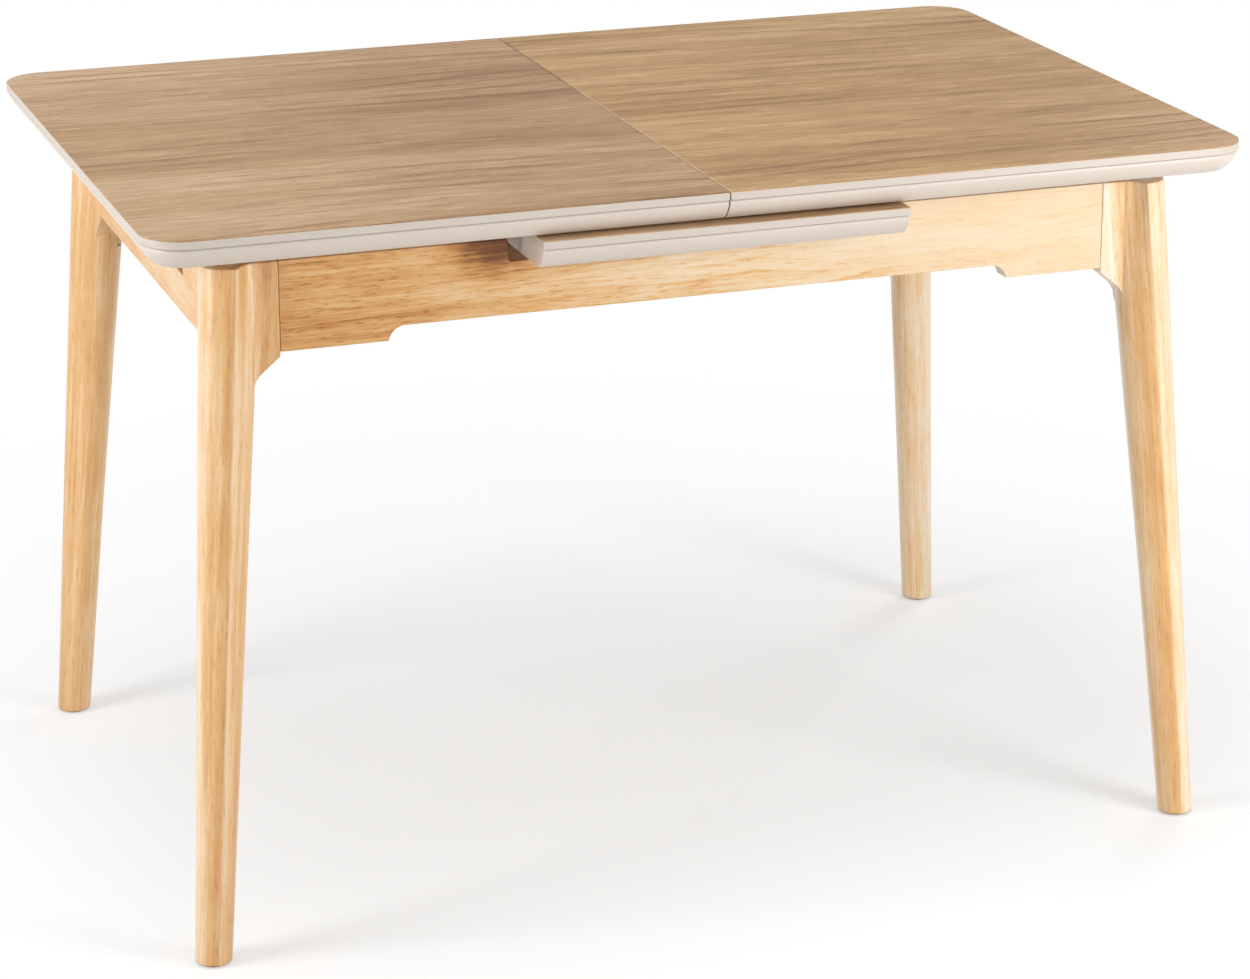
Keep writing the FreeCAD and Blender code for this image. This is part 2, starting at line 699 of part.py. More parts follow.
def block_screws(way, play):
    """The front left block's two screws into one apron, or their holes when play isn't zero."""
    near, far = block_legs()
    seat = (near + far) / 2
    length = size.screw_bite + (far - near) / 2 - size.head_height
    made = []
    for step in (-1, 1):
        level = bolt_level + size.screw_pitch / 2 * step
        start = (-inner_x - size.screw_bite, -face_y + seat, level)
        if way[1]:
            start = (-face_x + seat, -inner_y - size.screw_bite, level)
        shank = rod(start, way, size.screw_radius + play, length)
        neck = along(start, way, length - size.head_height)
        head = cone(neck, way, size.screw_radius + play, size.head_radius + play, size.head_height)
        made.append(fuse([shank, head]))
        if play is not ZERO:
            made.append(rod(along(start, way, length), way, size.head_radius + play, size.block_thick))
    return made


def make_corner_blocks():
    """Diagonal blocks in the frame's corners, with the hanger bolts that draw the legs in."""
    near, far = block_legs()
    points = [(-inner_x, -face_y + near), (-face_x + near, -inner_y), (-face_x + far, -inner_y),
              (-inner_x, -face_y + far)]
    foot = frame_top - size.block_drop - size.block_height
    block = extrude(stand(sketch(points, name="CornerBlock"), z=foot), (0, 0, 1), size.block_height)
    outer = block_outer()
    inner = outer + size.block_thick
    inward = (ROOT_HALF, ROOT_HALF, 0)
    bolt_hole = rod(diagonal(outer - size.cut_over), inward, size.bolt_radius + size.bolt_play,
                    size.block_thick + size.cut_over * 2)
    holes = block_screws((1, 0, 0), size.fit_play) + block_screws((0, 1, 0), size.fit_play)
    four_ways(cut(block, [bolt_hole] + holes), four_corners("corner_block"))
    mirrored_set(block_screws((1, 0, 0), ZERO) + block_screws((0, 1, 0), ZERO), "corner_block_screws")
    stack = size.block_gap + size.block_thick + size.washer_thick + size.nut_thick
    bolt_length = size.bolt_bite + stack + size.bolt_tail
    bolt = rod(diagonal(leg_heel() - size.bolt_bite), inward, size.bolt_radius, bolt_length)
    mirrored_set([bolt], "hanger_bolts")
    washer = rod(diagonal(inner), inward, size.washer_radius, size.washer_thick)
    washer_hole = rod(diagonal(inner - size.cut_over), inward, size.bolt_radius + size.bolt_play,
                      size.washer_thick + size.cut_over * 2)
    mirrored_set([cut(washer, [washer_hole])], "hanger_washers")
    nut = add("Part::Prism", "Nut")
    nut.Polygon = 6
    nut.Placement.Rotation = FreeCAD.Rotation(V(0, 0, 1), V(*inward))
    bind(nut, Circumradius=size.nut_across / math.sqrt(3), Height=size.nut_thick)
    put(nut, *diagonal(inner + size.washer_thick))
    nut_hole = rod(diagonal(inner - size.cut_over), inward, size.bolt_radius + size.fit_play,
                   size.washer_thick + size.nut_thick + size.cut_over * 2)
    mirrored_set([cut(nut, [nut_hole])], "hanger_nuts")


def guide_screws(play):
    """Screws up through the cross rails into the guide rails, or their holes."""
    made = []
    for side in (-1, 1):
        for row in (-1, 1):
            x = size.cross_rail_centre * side
            y = size.guide_centre * row
            shank = rod((x, y, cross_foot), (0, 0, 1), size.screw_radius + play,
                        size.cross_rail_height + size.screw_bite + play)
            head = cone((x, y, cross_foot), (0, 0, 1), size.head_radius + play, size.screw_radius + play,
                        size.head_height)
            made.append(fuse([shank, head]))
    return made


def make_rails():
    """Two cross rails between the long aprons, and two grooved guide rails on top of them."""
    screw_holes = guide_screws(size.fit_play)
    dowels = cross_dowels(size.fit_play)
    dowels += [mirror(dowel, (0, 1, 0)) for dowel in dowels]
    half = size.cross_rail_width / 2
    for side, node in ((-1, "cross_rail_left"), (1, "cross_rail_right")):
        x = size.cross_rail_centre * side
        bar = box((x - half, -inner_y, cross_foot), (x + half, inner_y, guide_foot))
        keep(cut(bar, dowels + screw_holes), node)
    near = cross_dowels(ZERO)
    keep(group(near + [mirror(dowel, (0, 1, 0)) for dowel in near]), "cross_rail_dowels")
    keep(group(guide_screws(ZERO)), "guide_rail_screws")
    half = size.guide_width / 2
    groove_foot = guide_foot + (size.guide_height - size.guide_groove_height) / 2
    buttons = []
    for row, node in ((-1, "guide_rail_front"), (1, "guide_rail_rear")):
        y = size.guide_centre * row
        bar = box((-inner_x, y - half, guide_foot), (inner_x, y + half, guide_top))
        grooves = []
        for side in (-1, 1):
            wall = y + half * side
            floor = wall - size.guide_groove_depth * side
            low, high = (wall - size.cut_over, floor) if side < 0 else (floor, wall + size.cut_over)
            grooves.append(box((-inner_x - size.cut_over, low, groove_foot),
                               (inner_x + size.cut_over, high, groove_foot + size.guide_groove_height)))
        nails = []
        for side in (-1, 1):
            x = size.button_place * side
            nails.append(rod((x, y, guide_top + size.fit_play), (0, 0, -1), size.nail_radius + size.fit_play,
                             size.nail_length + size.fit_play * 2))
            cap = rod((x, y, guide_top), (0, 0, 1), size.button_radius, size.button_thick)
            nail = rod((x, y, guide_top + size.button_thick / 2), (0, 0, -1), size.nail_radius,
                       size.nail_length + size.button_thick / 2)
            buttons.append(fuse([cap, nail]))
        keep(cut(bar, grooves + screw_holes + nails), node)
    keep(group(buttons), "leaf_rest_buttons")


# Runners

def runner_row(side, row):
    """A runner's middle in Y: outside its guide rail at the front on the left, at the rear on the right."""
    outward = 1 if side * row > 0 else -1
    step = size.guide_width / 2 + size.slide_play + size.runner_width / 2
    return size.guide_centre * row + step * row * outward, row * outward


def runner_screw_places(side):
    """Where a half top's screws stand in plan."""
    low = spacer_start + size.runner_screw_inset
    high = inner_x - size.runner_end_gap - size.runner_screw_inset
    places = []
    for row in (-1, 1):
        y = runner_row(side, row)[0]
        places += [(x * side, y) for x in (low, (low + high) / 2, high)]
    return places


def make_runners(side, name):
    """The two tongued runners of one half top, with their spacers, stop blocks and screws."""
    groove_mid = guide_foot + size.guide_height / 2
    tongue = size.guide_groove_height / 2 - size.tongue_play
    outer_end = inner_x - size.runner_end_gap
    level = runner_foot + size.runner_bore_depth
    shank = top_under + size.screw_bite - size.fit_play - level
    screws, stops, holes = [], [], []
    for x, y in runner_screw_places(side):
        head = rod((x, y, level - size.head_height), (0, 0, 1), size.head_radius, size.head_height)
        screws.append(fuse([rod((x, y, level), (0, 0, 1), size.screw_radius, shank), head]))
        holes.append(rod((x, y, runner_foot - size.cut_over), (0, 0, 1), size.runner_bore_radius,
                         size.runner_bore_depth + size.cut_over))
        holes.append(rod((x, y, runner_foot), (0, 0, 1), size.screw_radius + size.fit_play,
                         top_under - runner_foot + size.cut_over))
    for row, place in ((-1, "front"), (1, "rear")):
        y, way = runner_row(side, row)
        half = size.runner_width / 2
        ends = (-outer_end, size.runner_reach) if side < 0 else (-size.runner_reach, outer_end)
        bar = box((ends[0], y - half, runner_foot), (ends[1], y + half, runner_top))
        flank = y - half * way
        tip = flank - size.guide_groove_depth * way
        low, high = (tip, y) if way > 0 else (y, tip)
        lip_end = inner_x - travel - size.tongue_gap
        lips = (-lip_end, ends[1]) if side < 0 else (ends[0], lip_end)
        lip = box((lips[0], low, groove_mid - tongue), (lips[1], high, groove_mid + tongue))
        keep(cut(fuse([bar, lip]), holes), f"runner_{name}_{place}")
        ends = (-outer_end, -spacer_start) if side < 0 else (spacer_start, outer_end)
        bar = box((ends[0], y - half, runner_top), (ends[1], y + half, top_under))
        keep(cut(bar, holes), f"spacer_{name}_{place}")
        meet = size.cross_rail_centre - size.cross_rail_width / 2
        near = travel + size.stop_play - meet
        ends = (near, near + size.stop_length) if side < 0 else (-near - size.stop_length, -near)
        low = runner_foot - size.stop_height
        stops.append(box((ends[0], y - half, low), (ends[1], y + half, runner_foot)))
    keep(group(stops), f"stop_blocks_{name}")
    keep(group(screws), f"runner_screws_{name}")


make_half_tops()
make_leaf()
make_legs()
make_aprons()
make_corner_blocks()
make_rails()
make_runners(-1, "left")
make_runners(1, "right")
doc.recompute()

faulty = [item.Name for item in doc.Objects if {"Invalid", "Error"} & set(item.State)]
if faulty:
    raise RuntimeError(f"not computed: {faulty}")
os.makedirs("parts", exist_ok=True)
for item in parts:
    shape = item.Shape
    if shape.isNull() or not shape.isValid() or not shape.Solids:
        raise RuntimeError(f"bad shape: {item.Label}")
    shape.exportStep(f"parts/{item.Label}.step")
    print(f"{item.Label}: {len(shape.Solids)} solids, {shape.Volume / 1000:.1f} cm3")
print(len(parts), "pieces")
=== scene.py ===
# %% [markdown]
# # An extending dining table
# A wooden frame on four splayed legs carries two half tops, which slide apart on hidden runners, and a
# spare leaf that waits crosswise under their joint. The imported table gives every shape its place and
# size. This lesson eases the pieces' edges, makes the hardware and gives each surface its finish.

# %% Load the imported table
import json
import math

import bmesh
import bpy
import numpy as np
from mathutils import Matrix, Vector


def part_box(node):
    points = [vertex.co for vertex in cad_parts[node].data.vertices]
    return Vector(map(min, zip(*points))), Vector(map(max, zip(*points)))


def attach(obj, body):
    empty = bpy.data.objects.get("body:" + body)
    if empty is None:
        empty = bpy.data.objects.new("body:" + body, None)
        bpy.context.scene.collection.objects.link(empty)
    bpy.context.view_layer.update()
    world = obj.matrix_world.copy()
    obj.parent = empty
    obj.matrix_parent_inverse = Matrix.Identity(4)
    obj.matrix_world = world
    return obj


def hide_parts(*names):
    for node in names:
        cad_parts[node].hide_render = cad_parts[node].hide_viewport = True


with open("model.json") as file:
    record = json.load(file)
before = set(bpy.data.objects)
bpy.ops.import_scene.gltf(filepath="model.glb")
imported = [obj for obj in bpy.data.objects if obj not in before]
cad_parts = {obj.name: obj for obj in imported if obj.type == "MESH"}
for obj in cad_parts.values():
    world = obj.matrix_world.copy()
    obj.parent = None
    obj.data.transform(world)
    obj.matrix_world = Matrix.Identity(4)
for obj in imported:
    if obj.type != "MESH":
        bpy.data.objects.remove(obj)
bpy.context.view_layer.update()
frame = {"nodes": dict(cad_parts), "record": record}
BODY_OF = {node: body for body, nodes in frame["record"]["behaviour"]["bodies"].items() for node in nodes}

# %% [markdown]
# ## Camera
# The photograph was taken with a long lens from the front left, a little above the table. The camera
# stands where a fit to the table's straight edges puts it. Its shift moves the frame and leaves the
# perspective as it is, so that the upright lines lean as they do in the photograph.

# %% Camera
camera_data = bpy.data.cameras.new("photo_view")
camera_data.sensor_width = 36
camera_data.lens = 106.9728
camera_data.shift_x = -0.05057
camera_data.shift_y = -0.15710
yaw, pitch, roll = (math.radians(angle) for angle in (20.42673, 16.14539, 0.15687))
ahead = Vector((math.sin(yaw) * math.cos(pitch), math.cos(yaw) * math.cos(pitch), -math.sin(pitch)))
level_right = Vector((math.cos(yaw), -math.sin(yaw), 0))
level_up = level_right.cross(ahead)
view_right = level_right * math.cos(roll) + level_up * math.sin(roll)
view_up = level_up * math.cos(roll) - level_right * math.sin(roll)
camera = bpy.data.objects.new("photo_view", camera_data)
camera.matrix_world = Matrix((view_right, view_up, -ahead)).transposed().to_4x4()
camera.location = (-1.25835, -3.63597, 1.65440)
bpy.context.collection.objects.link(camera)
bpy.context.scene.camera = camera
bpy.context.scene.view_settings.view_transform = "Standard"
print("camera", tuple(round(value, 3) for value in camera.location))

# %% [markdown]
# ## Nodes as expressions
# A finish is a sum of patterns, and a long list of nodes and links is hard to read. One small class wraps
# a socket, so that Python's own signs add the Math nodes. Another wraps the tree, and one method of it
# makes every other node: settings first, and then the values or links of its sockets. Both serve
# materials and geometry.


# %% A socket that takes Python's signs
OBJECT_COORDINATES = 3
MIX_FIRST, MIX_SECOND, MIX_RESULT = 6, 7, 2


class Wire:
    """An output socket: a * 2 + b adds the Math nodes that work it out."""

    def __init__(self, graph, port):
        self.graph = graph
        self.port = port

    def then(self, operation, *others):
        """A Math node that takes this wire first, such as FRACT, SIGN or COSINE."""
        return self.graph.math(operation, self, *others)

    def __add__(self, other):
        return self.then("ADD", other)

    def __sub__(self, other):
        return self.then("SUBTRACT", other)

    def __rsub__(self, other):
        return self.graph.math("SUBTRACT", other, self)

    def __mul__(self, other):
        return self.then("MULTIPLY", other)

    def __truediv__(self, other):
        return self.then("DIVIDE", other)

    def __pow__(self, other):
        return self.then("POWER", other)

    def __neg__(self):
        return self.then("MULTIPLY", -1.0)

    def __abs__(self):
        return self.then("ABSOLUTE")

    __radd__ = __add__
    __rmul__ = __mul__


class Graph:
    """A node tree that is filled from Python."""

    def __init__(self, tree):
        self.tree = tree

    def node(self, kind, settings=None, inputs=None, out=0):
        """Add a node and give the wire from one of its outputs."""
        made = self.tree.nodes.new(kind)
        for name, value in (settings or {}).items():
            if name == "stops":
                self.set_stops(made.color_ramp, value)
            else:
                setattr(made, name, value)
        for key, value in (inputs or {}).items():
            if isinstance(value, Wire):
                self.tree.links.new(value.port, made.inputs[key])
            else:
                made.inputs[key].default_value = value
        return Wire(self, made.outputs[out])

    def math(self, operation, *values):
        return self.node("ShaderNodeMath", {"operation": operation}, dict(enumerate(values)))

    @staticmethod
    def set_stops(ramp, stops):
        while len(ramp.elements) > 1:
            ramp.elements.remove(ramp.elements[-1])
        for number, (place, colour) in enumerate(stops):
            stop = ramp.elements[0] if number == 0 else ramp.elements.new(place)
            stop.position = place
            stop.color = (*colour, 1)

    def point(self, x, y, z):
        return self.node("ShaderNodeCombineXYZ", None, {0: x, 1: y, 2: z})

    def tones(self, share, stops):
        """The colour at a share of the way through a row of colour stops."""
        return self.node("ShaderNodeValToRGB", {"stops": stops}, {0: share})

    def noise(self, x, y, z, detail=2.0, roughness=0.5):
        """Cloudy noise round 0, about a unit wide, at coordinates that are already scaled."""
        cloud = self.node("ShaderNodeTexNoise", None, {
            "Vector": self.point(x, y, z), "Scale": 1.0, "Detail": detail, "Roughness": roughness})
        return (cloud - 0.5) * 2

    def step(self, value, low, high):
        """0 below low and 1 above high, with a soft change between them."""
        return self.node("ShaderNodeMapRange", {"interpolation_type": "SMOOTHSTEP"},
                         {0: value, 1: low, 2: high, 3: 0.0, 4: 1.0})

    def blend(self, share, first, second, way="MIX"):
        """Two colours, mixed by a share."""
        return self.node("ShaderNodeMix", {"data_type": "RGBA", "blend_type": way},
                         {0: share, MIX_FIRST: first, MIX_SECOND: second}, out=MIX_RESULT)

    def place(self):
        """The point's three coordinates in the table's frame."""
        spot = self.node("ShaderNodeTexCoord", None, None, out=OBJECT_COORDINATES)
        return [self.node("ShaderNodeSeparateXYZ", None, {0: spot}, out=axis) for axis in range(3)]


def finish_material(name, colour, roughness, height, relief, settings=None):
    """A material from a colour, a roughness and a height in metres of relief, and fixed values."""
    graph = colour.graph
    shader = graph.tree.nodes["Principled BSDF"]
    bump = graph.node("ShaderNodeBump", None, {"Strength": 1.0, "Distance": relief, "Height": height})
    for wire, socket in ((colour, "Base Color"), (roughness, "Roughness"), (bump, "Normal")):
        graph.tree.links.new(wire.port, shader.inputs[socket])
    for socket, value in (settings or {}).items():
        shader.inputs[socket].default_value = value
    return bpy.data.materials[name]


def new_graph(name):
    material = bpy.data.materials.new(name)
    material.use_nodes = True
    return Graph(material.node_tree)


print("node helpers ready")

# %% [markdown]
# ## Wood
# A plank is a cut through rings that lie round the tree's heart. The distance from the heart line,
# divided by the width of a year's ring, tells the year, and the late wood of each year is a darker
# line. Where the plank's face runs nearly along the rings they show as long arches. Noise stretched
# along the grain adds fibres, and a finer one that is cut off at a level leaves the short dark pores.
# Each noise is given by its waves in a metre, few along the grain and many across it. One end of a plank
# may be near a knot, where the rings swirl and the rest of the figure is calmer. Towards the table's right
# end the tone is painted paler, as painted light from the right softbox, on the front apron partly paler
# sapwood too. The three spans say between which places along the table these changes come. A picture of
# wood would repeat and show its edges, so the pattern is worked out from the point's place.


# %% Rings, fibres and pores
SWIRL_SPAN = (-0.10, 0.35)
CALM_SPAN = (-0.05, 0.35)
# The span over which painted light makes the wood paler towards the table's right end.
RIGHTWARD_LIGHT_SPAN = (-0.46, 0.18)
GRAIN_RELIEF = 0.00005


def grain_noise(graph, plank, along, across, seed, detail=2.0, roughness=0.5):
    """Noise with so many waves in a metre along a plank's grain, and so many across it."""
    return graph.noise(plank[0] * along + seed, plank[1] * across, plank[2] * across, detail, roughness)


def late_wood(graph, years):
    """The dark end of each year's growth: it deepens slowly and ends sharply."""
    part = years.then("FRACT")
    return part ** 4 * (1 - graph.step(part, 0.94, 1.0))


def rings(graph, plank, wood):
    """The years since the tree's heart, counted at a point of the plank."""
    along, across, depth = plank
    heart_across, heart_depth = wood["heart"]
    seed = wood["seed"]
    sway = grain_noise(graph, plank, 1.9, 7, seed) * wood["sway"]
    if "swirl" in wood:
        sway = sway + grain_noise(graph, plank, 11, 13, seed) * graph.step(along, *SWIRL_SPAN) * wood["swirl"]
    ripple = grain_noise(graph, plank, 11, 45, seed) * 0.0025
    side = across + sway + ripple - heart_across
    back = depth + along * wood["taper"] + sway * 0.6 - heart_depth
    years = (side * side + back * back) ** 0.5 / wood["ring"]
    return years + graph.noise(years * 0.7, seed, along * 0.5, detail=1) * 0.4


def growth(graph, plank, wood):
    """The late wood lines, the years' slow change of tint, the streaks, the fibres and the pores."""
    along, across, depth = plank
    seed = wood["seed"]
    years = rings(graph, plank, wood)
    shown = graph.step(grain_noise(graph, plank, 5, 26, seed), -0.25, 0.40)
    late = late_wood(graph, years) * shown
    tint = graph.noise(years * 0.31, along * 1.1 + seed, seed, detail=1)
    streak = grain_noise(graph, plank, 1.2, 62, seed, roughness=0.6)
    fibre = grain_noise(graph, plank, 16, 300, seed, roughness=0.6)
    pore = graph.step(graph.noise(along * 75, across * 640 + seed, depth * 640, detail=1), 0.08, 0.50)
    return late, tint, streak, fibre, pore


def timber(name, axes, wood, mark=None):
    """A wood finish; the shares weigh the patterns between the dark and the pale tones."""
    graph = new_graph(name)
    plank = axes(graph)
    late, tint, streak, fibre, pore = growth(graph, plank, wood)
    cloud = grain_noise(graph, plank, 14, 24, wood["seed"], detail=3, roughness=0.55)
    share = wood["shares"]
    grain = streak * share["streak"] + cloud * share["cloud"] + fibre * share["fibre"] - pore * share["pore"]
    if "swirl" in wood:
        calm = graph.step(plank[0], *CALM_SPAN)
        grain = grain * (1 - calm * 0.50)
        late = late * (1 - calm * 0.65)
    tone = wood["level"] + tint * share["tint"] + grain - late * share["late"]
    # Painted light: the tone grows paler towards the table's right end, where the right softbox stands.
    if "rightward_light" in wood:
        tone = tone + (graph.step(graph.place()[0], *RIGHTWARD_LIGHT_SPAN) - 0.5) * wood["rightward_light"]
    # The mark paints light and shade into the tone: partly painted shade beside the apron's notch, and
    # painted shade and light on the legs' faces.
    if mark:
        tone = tone - mark(graph, cloud)
    colour = graph.tones(tone, wood["tones"])
    roughness = wood["roughness"] + fibre * 0.05 + pore * 0.1
    return finish_material(name, colour, roughness, fibre * 0.3 - pore, GRAIN_RELIEF, wood.get("lacquer"))


def along_x(graph):
    """A plank's own coordinates, along, across and into it, where the grain runs along the table."""
    x, y, z = graph.place()
    return x, z, y


def along_y(graph):
    """The same, where the grain runs from the front to the rear."""
    x, y, z = graph.place()
    return y, z, x


print("wood pattern ready")

# %% [markdown]
# ## Greyed oak of the tops
# The half tops and the leaf have a face of greyed oak. Its colours are muted: wisps of darker wood taper
# along the grain, and fine lines, short pale flecks and pores cover all of it. A wisp is late wood that
# shows only here and there. The face is a thin sheet, so the rings needn't be cut from a log: rows along
# the table that sway a little are enough. The two halves come from two sheets, and the left one is a little
# pinker. Painted light makes the left half paler at its outer end and darker towards the joint, and a
# painted highlight runs as a pale strip along the right half's arris at the joint's front.


# %% Greyed oak of the tops
OAK_TONES = [(0.0, (0.255, 0.138, 0.058)), (0.35, (0.390, 0.233, 0.111)), (0.60, (0.500, 0.320, 0.170)),
             (1.0, (0.670, 0.475, 0.295))]
OAK_RELIEF = 0.00004
OAK_LIGHT_SPAN = (-0.55, -0.10)
ARRIS_HIGHLIGHT_WIDTH = (0.0009, 0.0021)
ARRIS_HIGHLIGHT_END = (0.06, 0.16)
ARRIS_HIGHLIGHT_TONE = (0.860, 0.660, 0.420, 1)


def greyed_oak(name, seed, warm, pale, painted_light=0.0, arris_highlight=False):
    """An oak face with its grain along the table, tinted between a warm colour and a pale one."""
    graph = new_graph(name)
    place_x, y = graph.place()[:2]
    x = place_x + seed
    sway = graph.noise(x * 1.1, y * 4.5, seed, detail=1) * 0.030
    row = y + sway + graph.noise(x * 4, y * 22, seed) * 0.004
    band = graph.noise(x * 0.7, row * 8, seed)
    years = row * 30 + graph.noise(x * 0.9, row * 4, seed + 3, detail=1) * 3.8
    shown = graph.step(graph.noise(x * 2.2, row * 14, seed + 6), -0.10, 0.40)
    wisp = late_wood(graph, years) * shown
    cloud = graph.noise(x * 6, row * 60, seed, detail=4, roughness=0.65)
    line = graph.noise(x * 14, row * 150, seed, detail=3, roughness=0.7)
    fleck = graph.step(graph.noise(x * 30, row * 150, seed), 0.22, 0.40)
    pore = graph.step(graph.noise(x * 26, row * 190, seed + 2), 0.22, 0.42)
    tone = 0.55 + band * 0.58 + cloud * 0.38 + line * 0.48 - wisp * 0.74 + fleck * 0.20 - pore * 0.22
    # Painted light: the half is paler at its outer end and darker towards the joint.
    if painted_light:
        tone = tone + (0.4 - graph.step(place_x, *OAK_LIGHT_SPAN)) * painted_light
    tint = graph.tones(0.5 + band, [(0.0, warm), (1.0, pale)])
    colour = graph.blend(1.0, graph.tones(tone, OAK_TONES), tint, "MULTIPLY")
    # A painted highlight: a pale strip along the right half's arris at the joint's front, where the arris
    # catches the light.
    if arris_highlight:
        arris_glint = (1 - graph.step(place_x, *ARRIS_HIGHLIGHT_WIDTH)) * (1 - graph.step(y, *ARRIS_HIGHLIGHT_END))
        colour = graph.blend(arris_glint * 0.8, colour, ARRIS_HIGHLIGHT_TONE)
    return finish_material(name, colour, 0.50 + line * 0.05, line * 0.4 - pore, OAK_RELIEF,
                           {"Specular IOR Level": 0.15})


oak_left = greyed_oak("oak_left", 3.1, (0.86, 0.83, 0.78), (0.92, 0.93, 0.98), painted_light=0.30)
oak_right = greyed_oak("oak_right", 6.4, (0.92, 0.87, 0.70), (0.95, 0.93, 0.83), arris_highlight=True)
oak_leaf = greyed_oak("oak_leaf", 9.2, (0.98, 0.97, 0.96), (1.00, 1.00, 1.00))
print("oak faces", oak_left.name, oak_right.name, oak_leaf.name)

# %% [markdown]
# ## Honey wood of the aprons
# The aprons are solid honey coloured wood under satin lacquer. The front one is a plank whose left end is
# dark and lined and whose right end is calm and painted paler, as painted light from the right softbox and
# partly paler sapwood. Beside the notch for the leaf it has a dark reddish patch, partly heartwood and partly
# painted shade under the leaf. The shader's coat is the lacquer. It is weak here, because a strong one lays
# a veil of white over the dark patch.

# %% Honey wood of the aprons
APRON = {
    "tones": [(0.0, (0.205, 0.068, 0.014)), (0.26, (0.565, 0.252, 0.068)), (0.48, (0.725, 0.415, 0.162)),
              (0.68, (0.795, 0.590, 0.360)), (0.90, (0.820, 0.680, 0.500))],
    "shares": {"late": 0.38, "tint": 0.16, "streak": 0.14, "cloud": 0.14, "fibre": 0.28, "pore": 0.20},
    "ring": 0.015, "heart": (0.25, -0.31), "taper": 0.10, "sway": 0.020, "swirl": 0.050, "seed": 1.7,
    "level": 0.60, "rightward_light": 0.36, "roughness": 0.38,
    "lacquer": {"Coat Weight": 0.25, "Coat Roughness": 0.28, "Specular IOR Level": 0.25}}
# The patch beside the notch is partly heartwood and partly painted shade, where the leaf above shades the
# apron.
STAIN_AND_SHADE_X, STAIN_AND_SHADE_Z = -0.228, 0.700
STAIN_AND_SHADE_FLATNESS = 2.4
STAIN_AND_SHADE_EDGE = (0.010, 0.070)
STAIN_AND_SHADE_SHARE = 0.54


def notch_stain_and_shade(graph, cloud):
    """Reddish brown patch with a ragged edge by the notch: part heartwood, part painted shade under the leaf.
    """
    spot = graph.place()
    aside = spot[0] - STAIN_AND_SHADE_X
    above = spot[2] - STAIN_AND_SHADE_Z
    away = (aside * aside + above * above * STAIN_AND_SHADE_FLATNESS) ** 0.5
    return (1 - graph.step(away + cloud * 0.03, *STAIN_AND_SHADE_EDGE)) * STAIN_AND_SHADE_SHARE


apron_long = timber("apron_long", along_x, APRON, notch_stain_and_shade)
apron_short = timber("apron_short", along_y, {
    **APRON, "seed": 5.2, "level": 0.56, "rightward_light": 0.0, "heart": (0.25, -0.45),
    "shares": {"late": 0.14, "tint": 0.14, "streak": 0.10, "cloud": 0.18, "fibre": 0.20, "pore": 0.12}})
print("aprons", apron_long.name, apron_short.name)

# %% [markdown]
# ## Honey wood of the legs
# Each leg is sawn from its own plank, with the grain along its leaning axis, so the pattern's coordinates
# lean with it. They are measured from the axis, which starts at the middle of the glide. The second one
# grows from the face that looks to the front or rear, round the column, to the face that looks to the
# table's end. Divided by the column's radius it is about -1 on the first crest and 1 on the second, and
# below -1 lie the facet beside the wing and the wing. That turn sets where painted shade darkens the crest
# and where painted light and shade lie on the other faces, by the way each face turns to the lamps. Where
# the left and the right legs differ, a pair holds the left ones' value and then the right ones'.

# %% Honey wood of the legs
LEG = {
    "tones": [(0.0, (0.380, 0.165, 0.050)), (0.25, (0.620, 0.305, 0.096)), (0.50, (0.745, 0.440, 0.178)),
              (0.75, (0.840, 0.625, 0.395)), (1.0, (0.885, 0.785, 0.660))],
    "shares": {"late": 0.22, "tint": 0.26, "streak": 0.32, "cloud": 0.16, "fibre": 0.22, "pore": 0.20},
    "ring": 0.012, "heart": (0.035, 0.200), "taper": 0.012, "sway": 0.012, "seed": 2.3,
    "level": 0.59, "rightward_light": 0.08, "roughness": 0.36,
    "lacquer": {"Coat Weight": 0.50, "Coat Roughness": 0.28, "Specular IOR Level": 0.5}}
glide_low, glide_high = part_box("glide_rear_right")
FOOT_X, FOOT_Y = [(low + high) / 2 for low, high in zip(glide_low[:2], glide_high[:2])]
LEG_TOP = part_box("leg_rear_right")[1][2]
LEG_SPLAY = 0.0495
LEG_LEAN = LEG_SPLAY / LEG_TOP
FOOT_RADIUS = 0.0184
COLUMN_RADIUS = 0.0295
COLUMN_SPREAD = (COLUMN_RADIUS - FOOT_RADIUS) / LEG_TOP
# Painted shade along a crest, and painted light on the sides, facets, wings and rear legs; a negative value
# is painted shade.
CREST_AT = (-0.90, -1.38)
CREST_SPAN = (0.05, 0.45)
CREST_PAINTED_SHADE = (0.12, 0.09)
SIDE_START = (-0.35, -1.15)
SIDE_END = (0.80, -0.80)
SIDE_PAINTED_LIGHT = 0.22
FACET_SPAN = (-1.12, -0.95)
FACET_PAINTED_LIGHT = (0.18, -0.04)
WING_SPAN = (-1.60, -1.10)
WING_PAINTED_LIGHT = (-0.41, 0.25)
REAR_PAINTED_LIGHT = (-0.05, 0.11)


def along_leg(graph):
    """Coordinates that follow a leg's lean, and differ from leg to leg."""
    x, y, z = graph.place()
    out = abs(x) + z * LEG_LEAN
    deep = abs(y) + z * LEG_LEAN
    along = z + x.then("SIGN") * 3.7 + y.then("SIGN") * 8.3
    return along, out - deep - (FOOT_X - FOOT_Y), out + deep - (FOOT_X + FOOT_Y)


def by_side(right, pair):
    """The first value of a pair where right is -1, on the left legs, and the second where it is 1."""
    return right * ((pair[1] - pair[0]) / 2) + (pair[0] + pair[1]) / 2


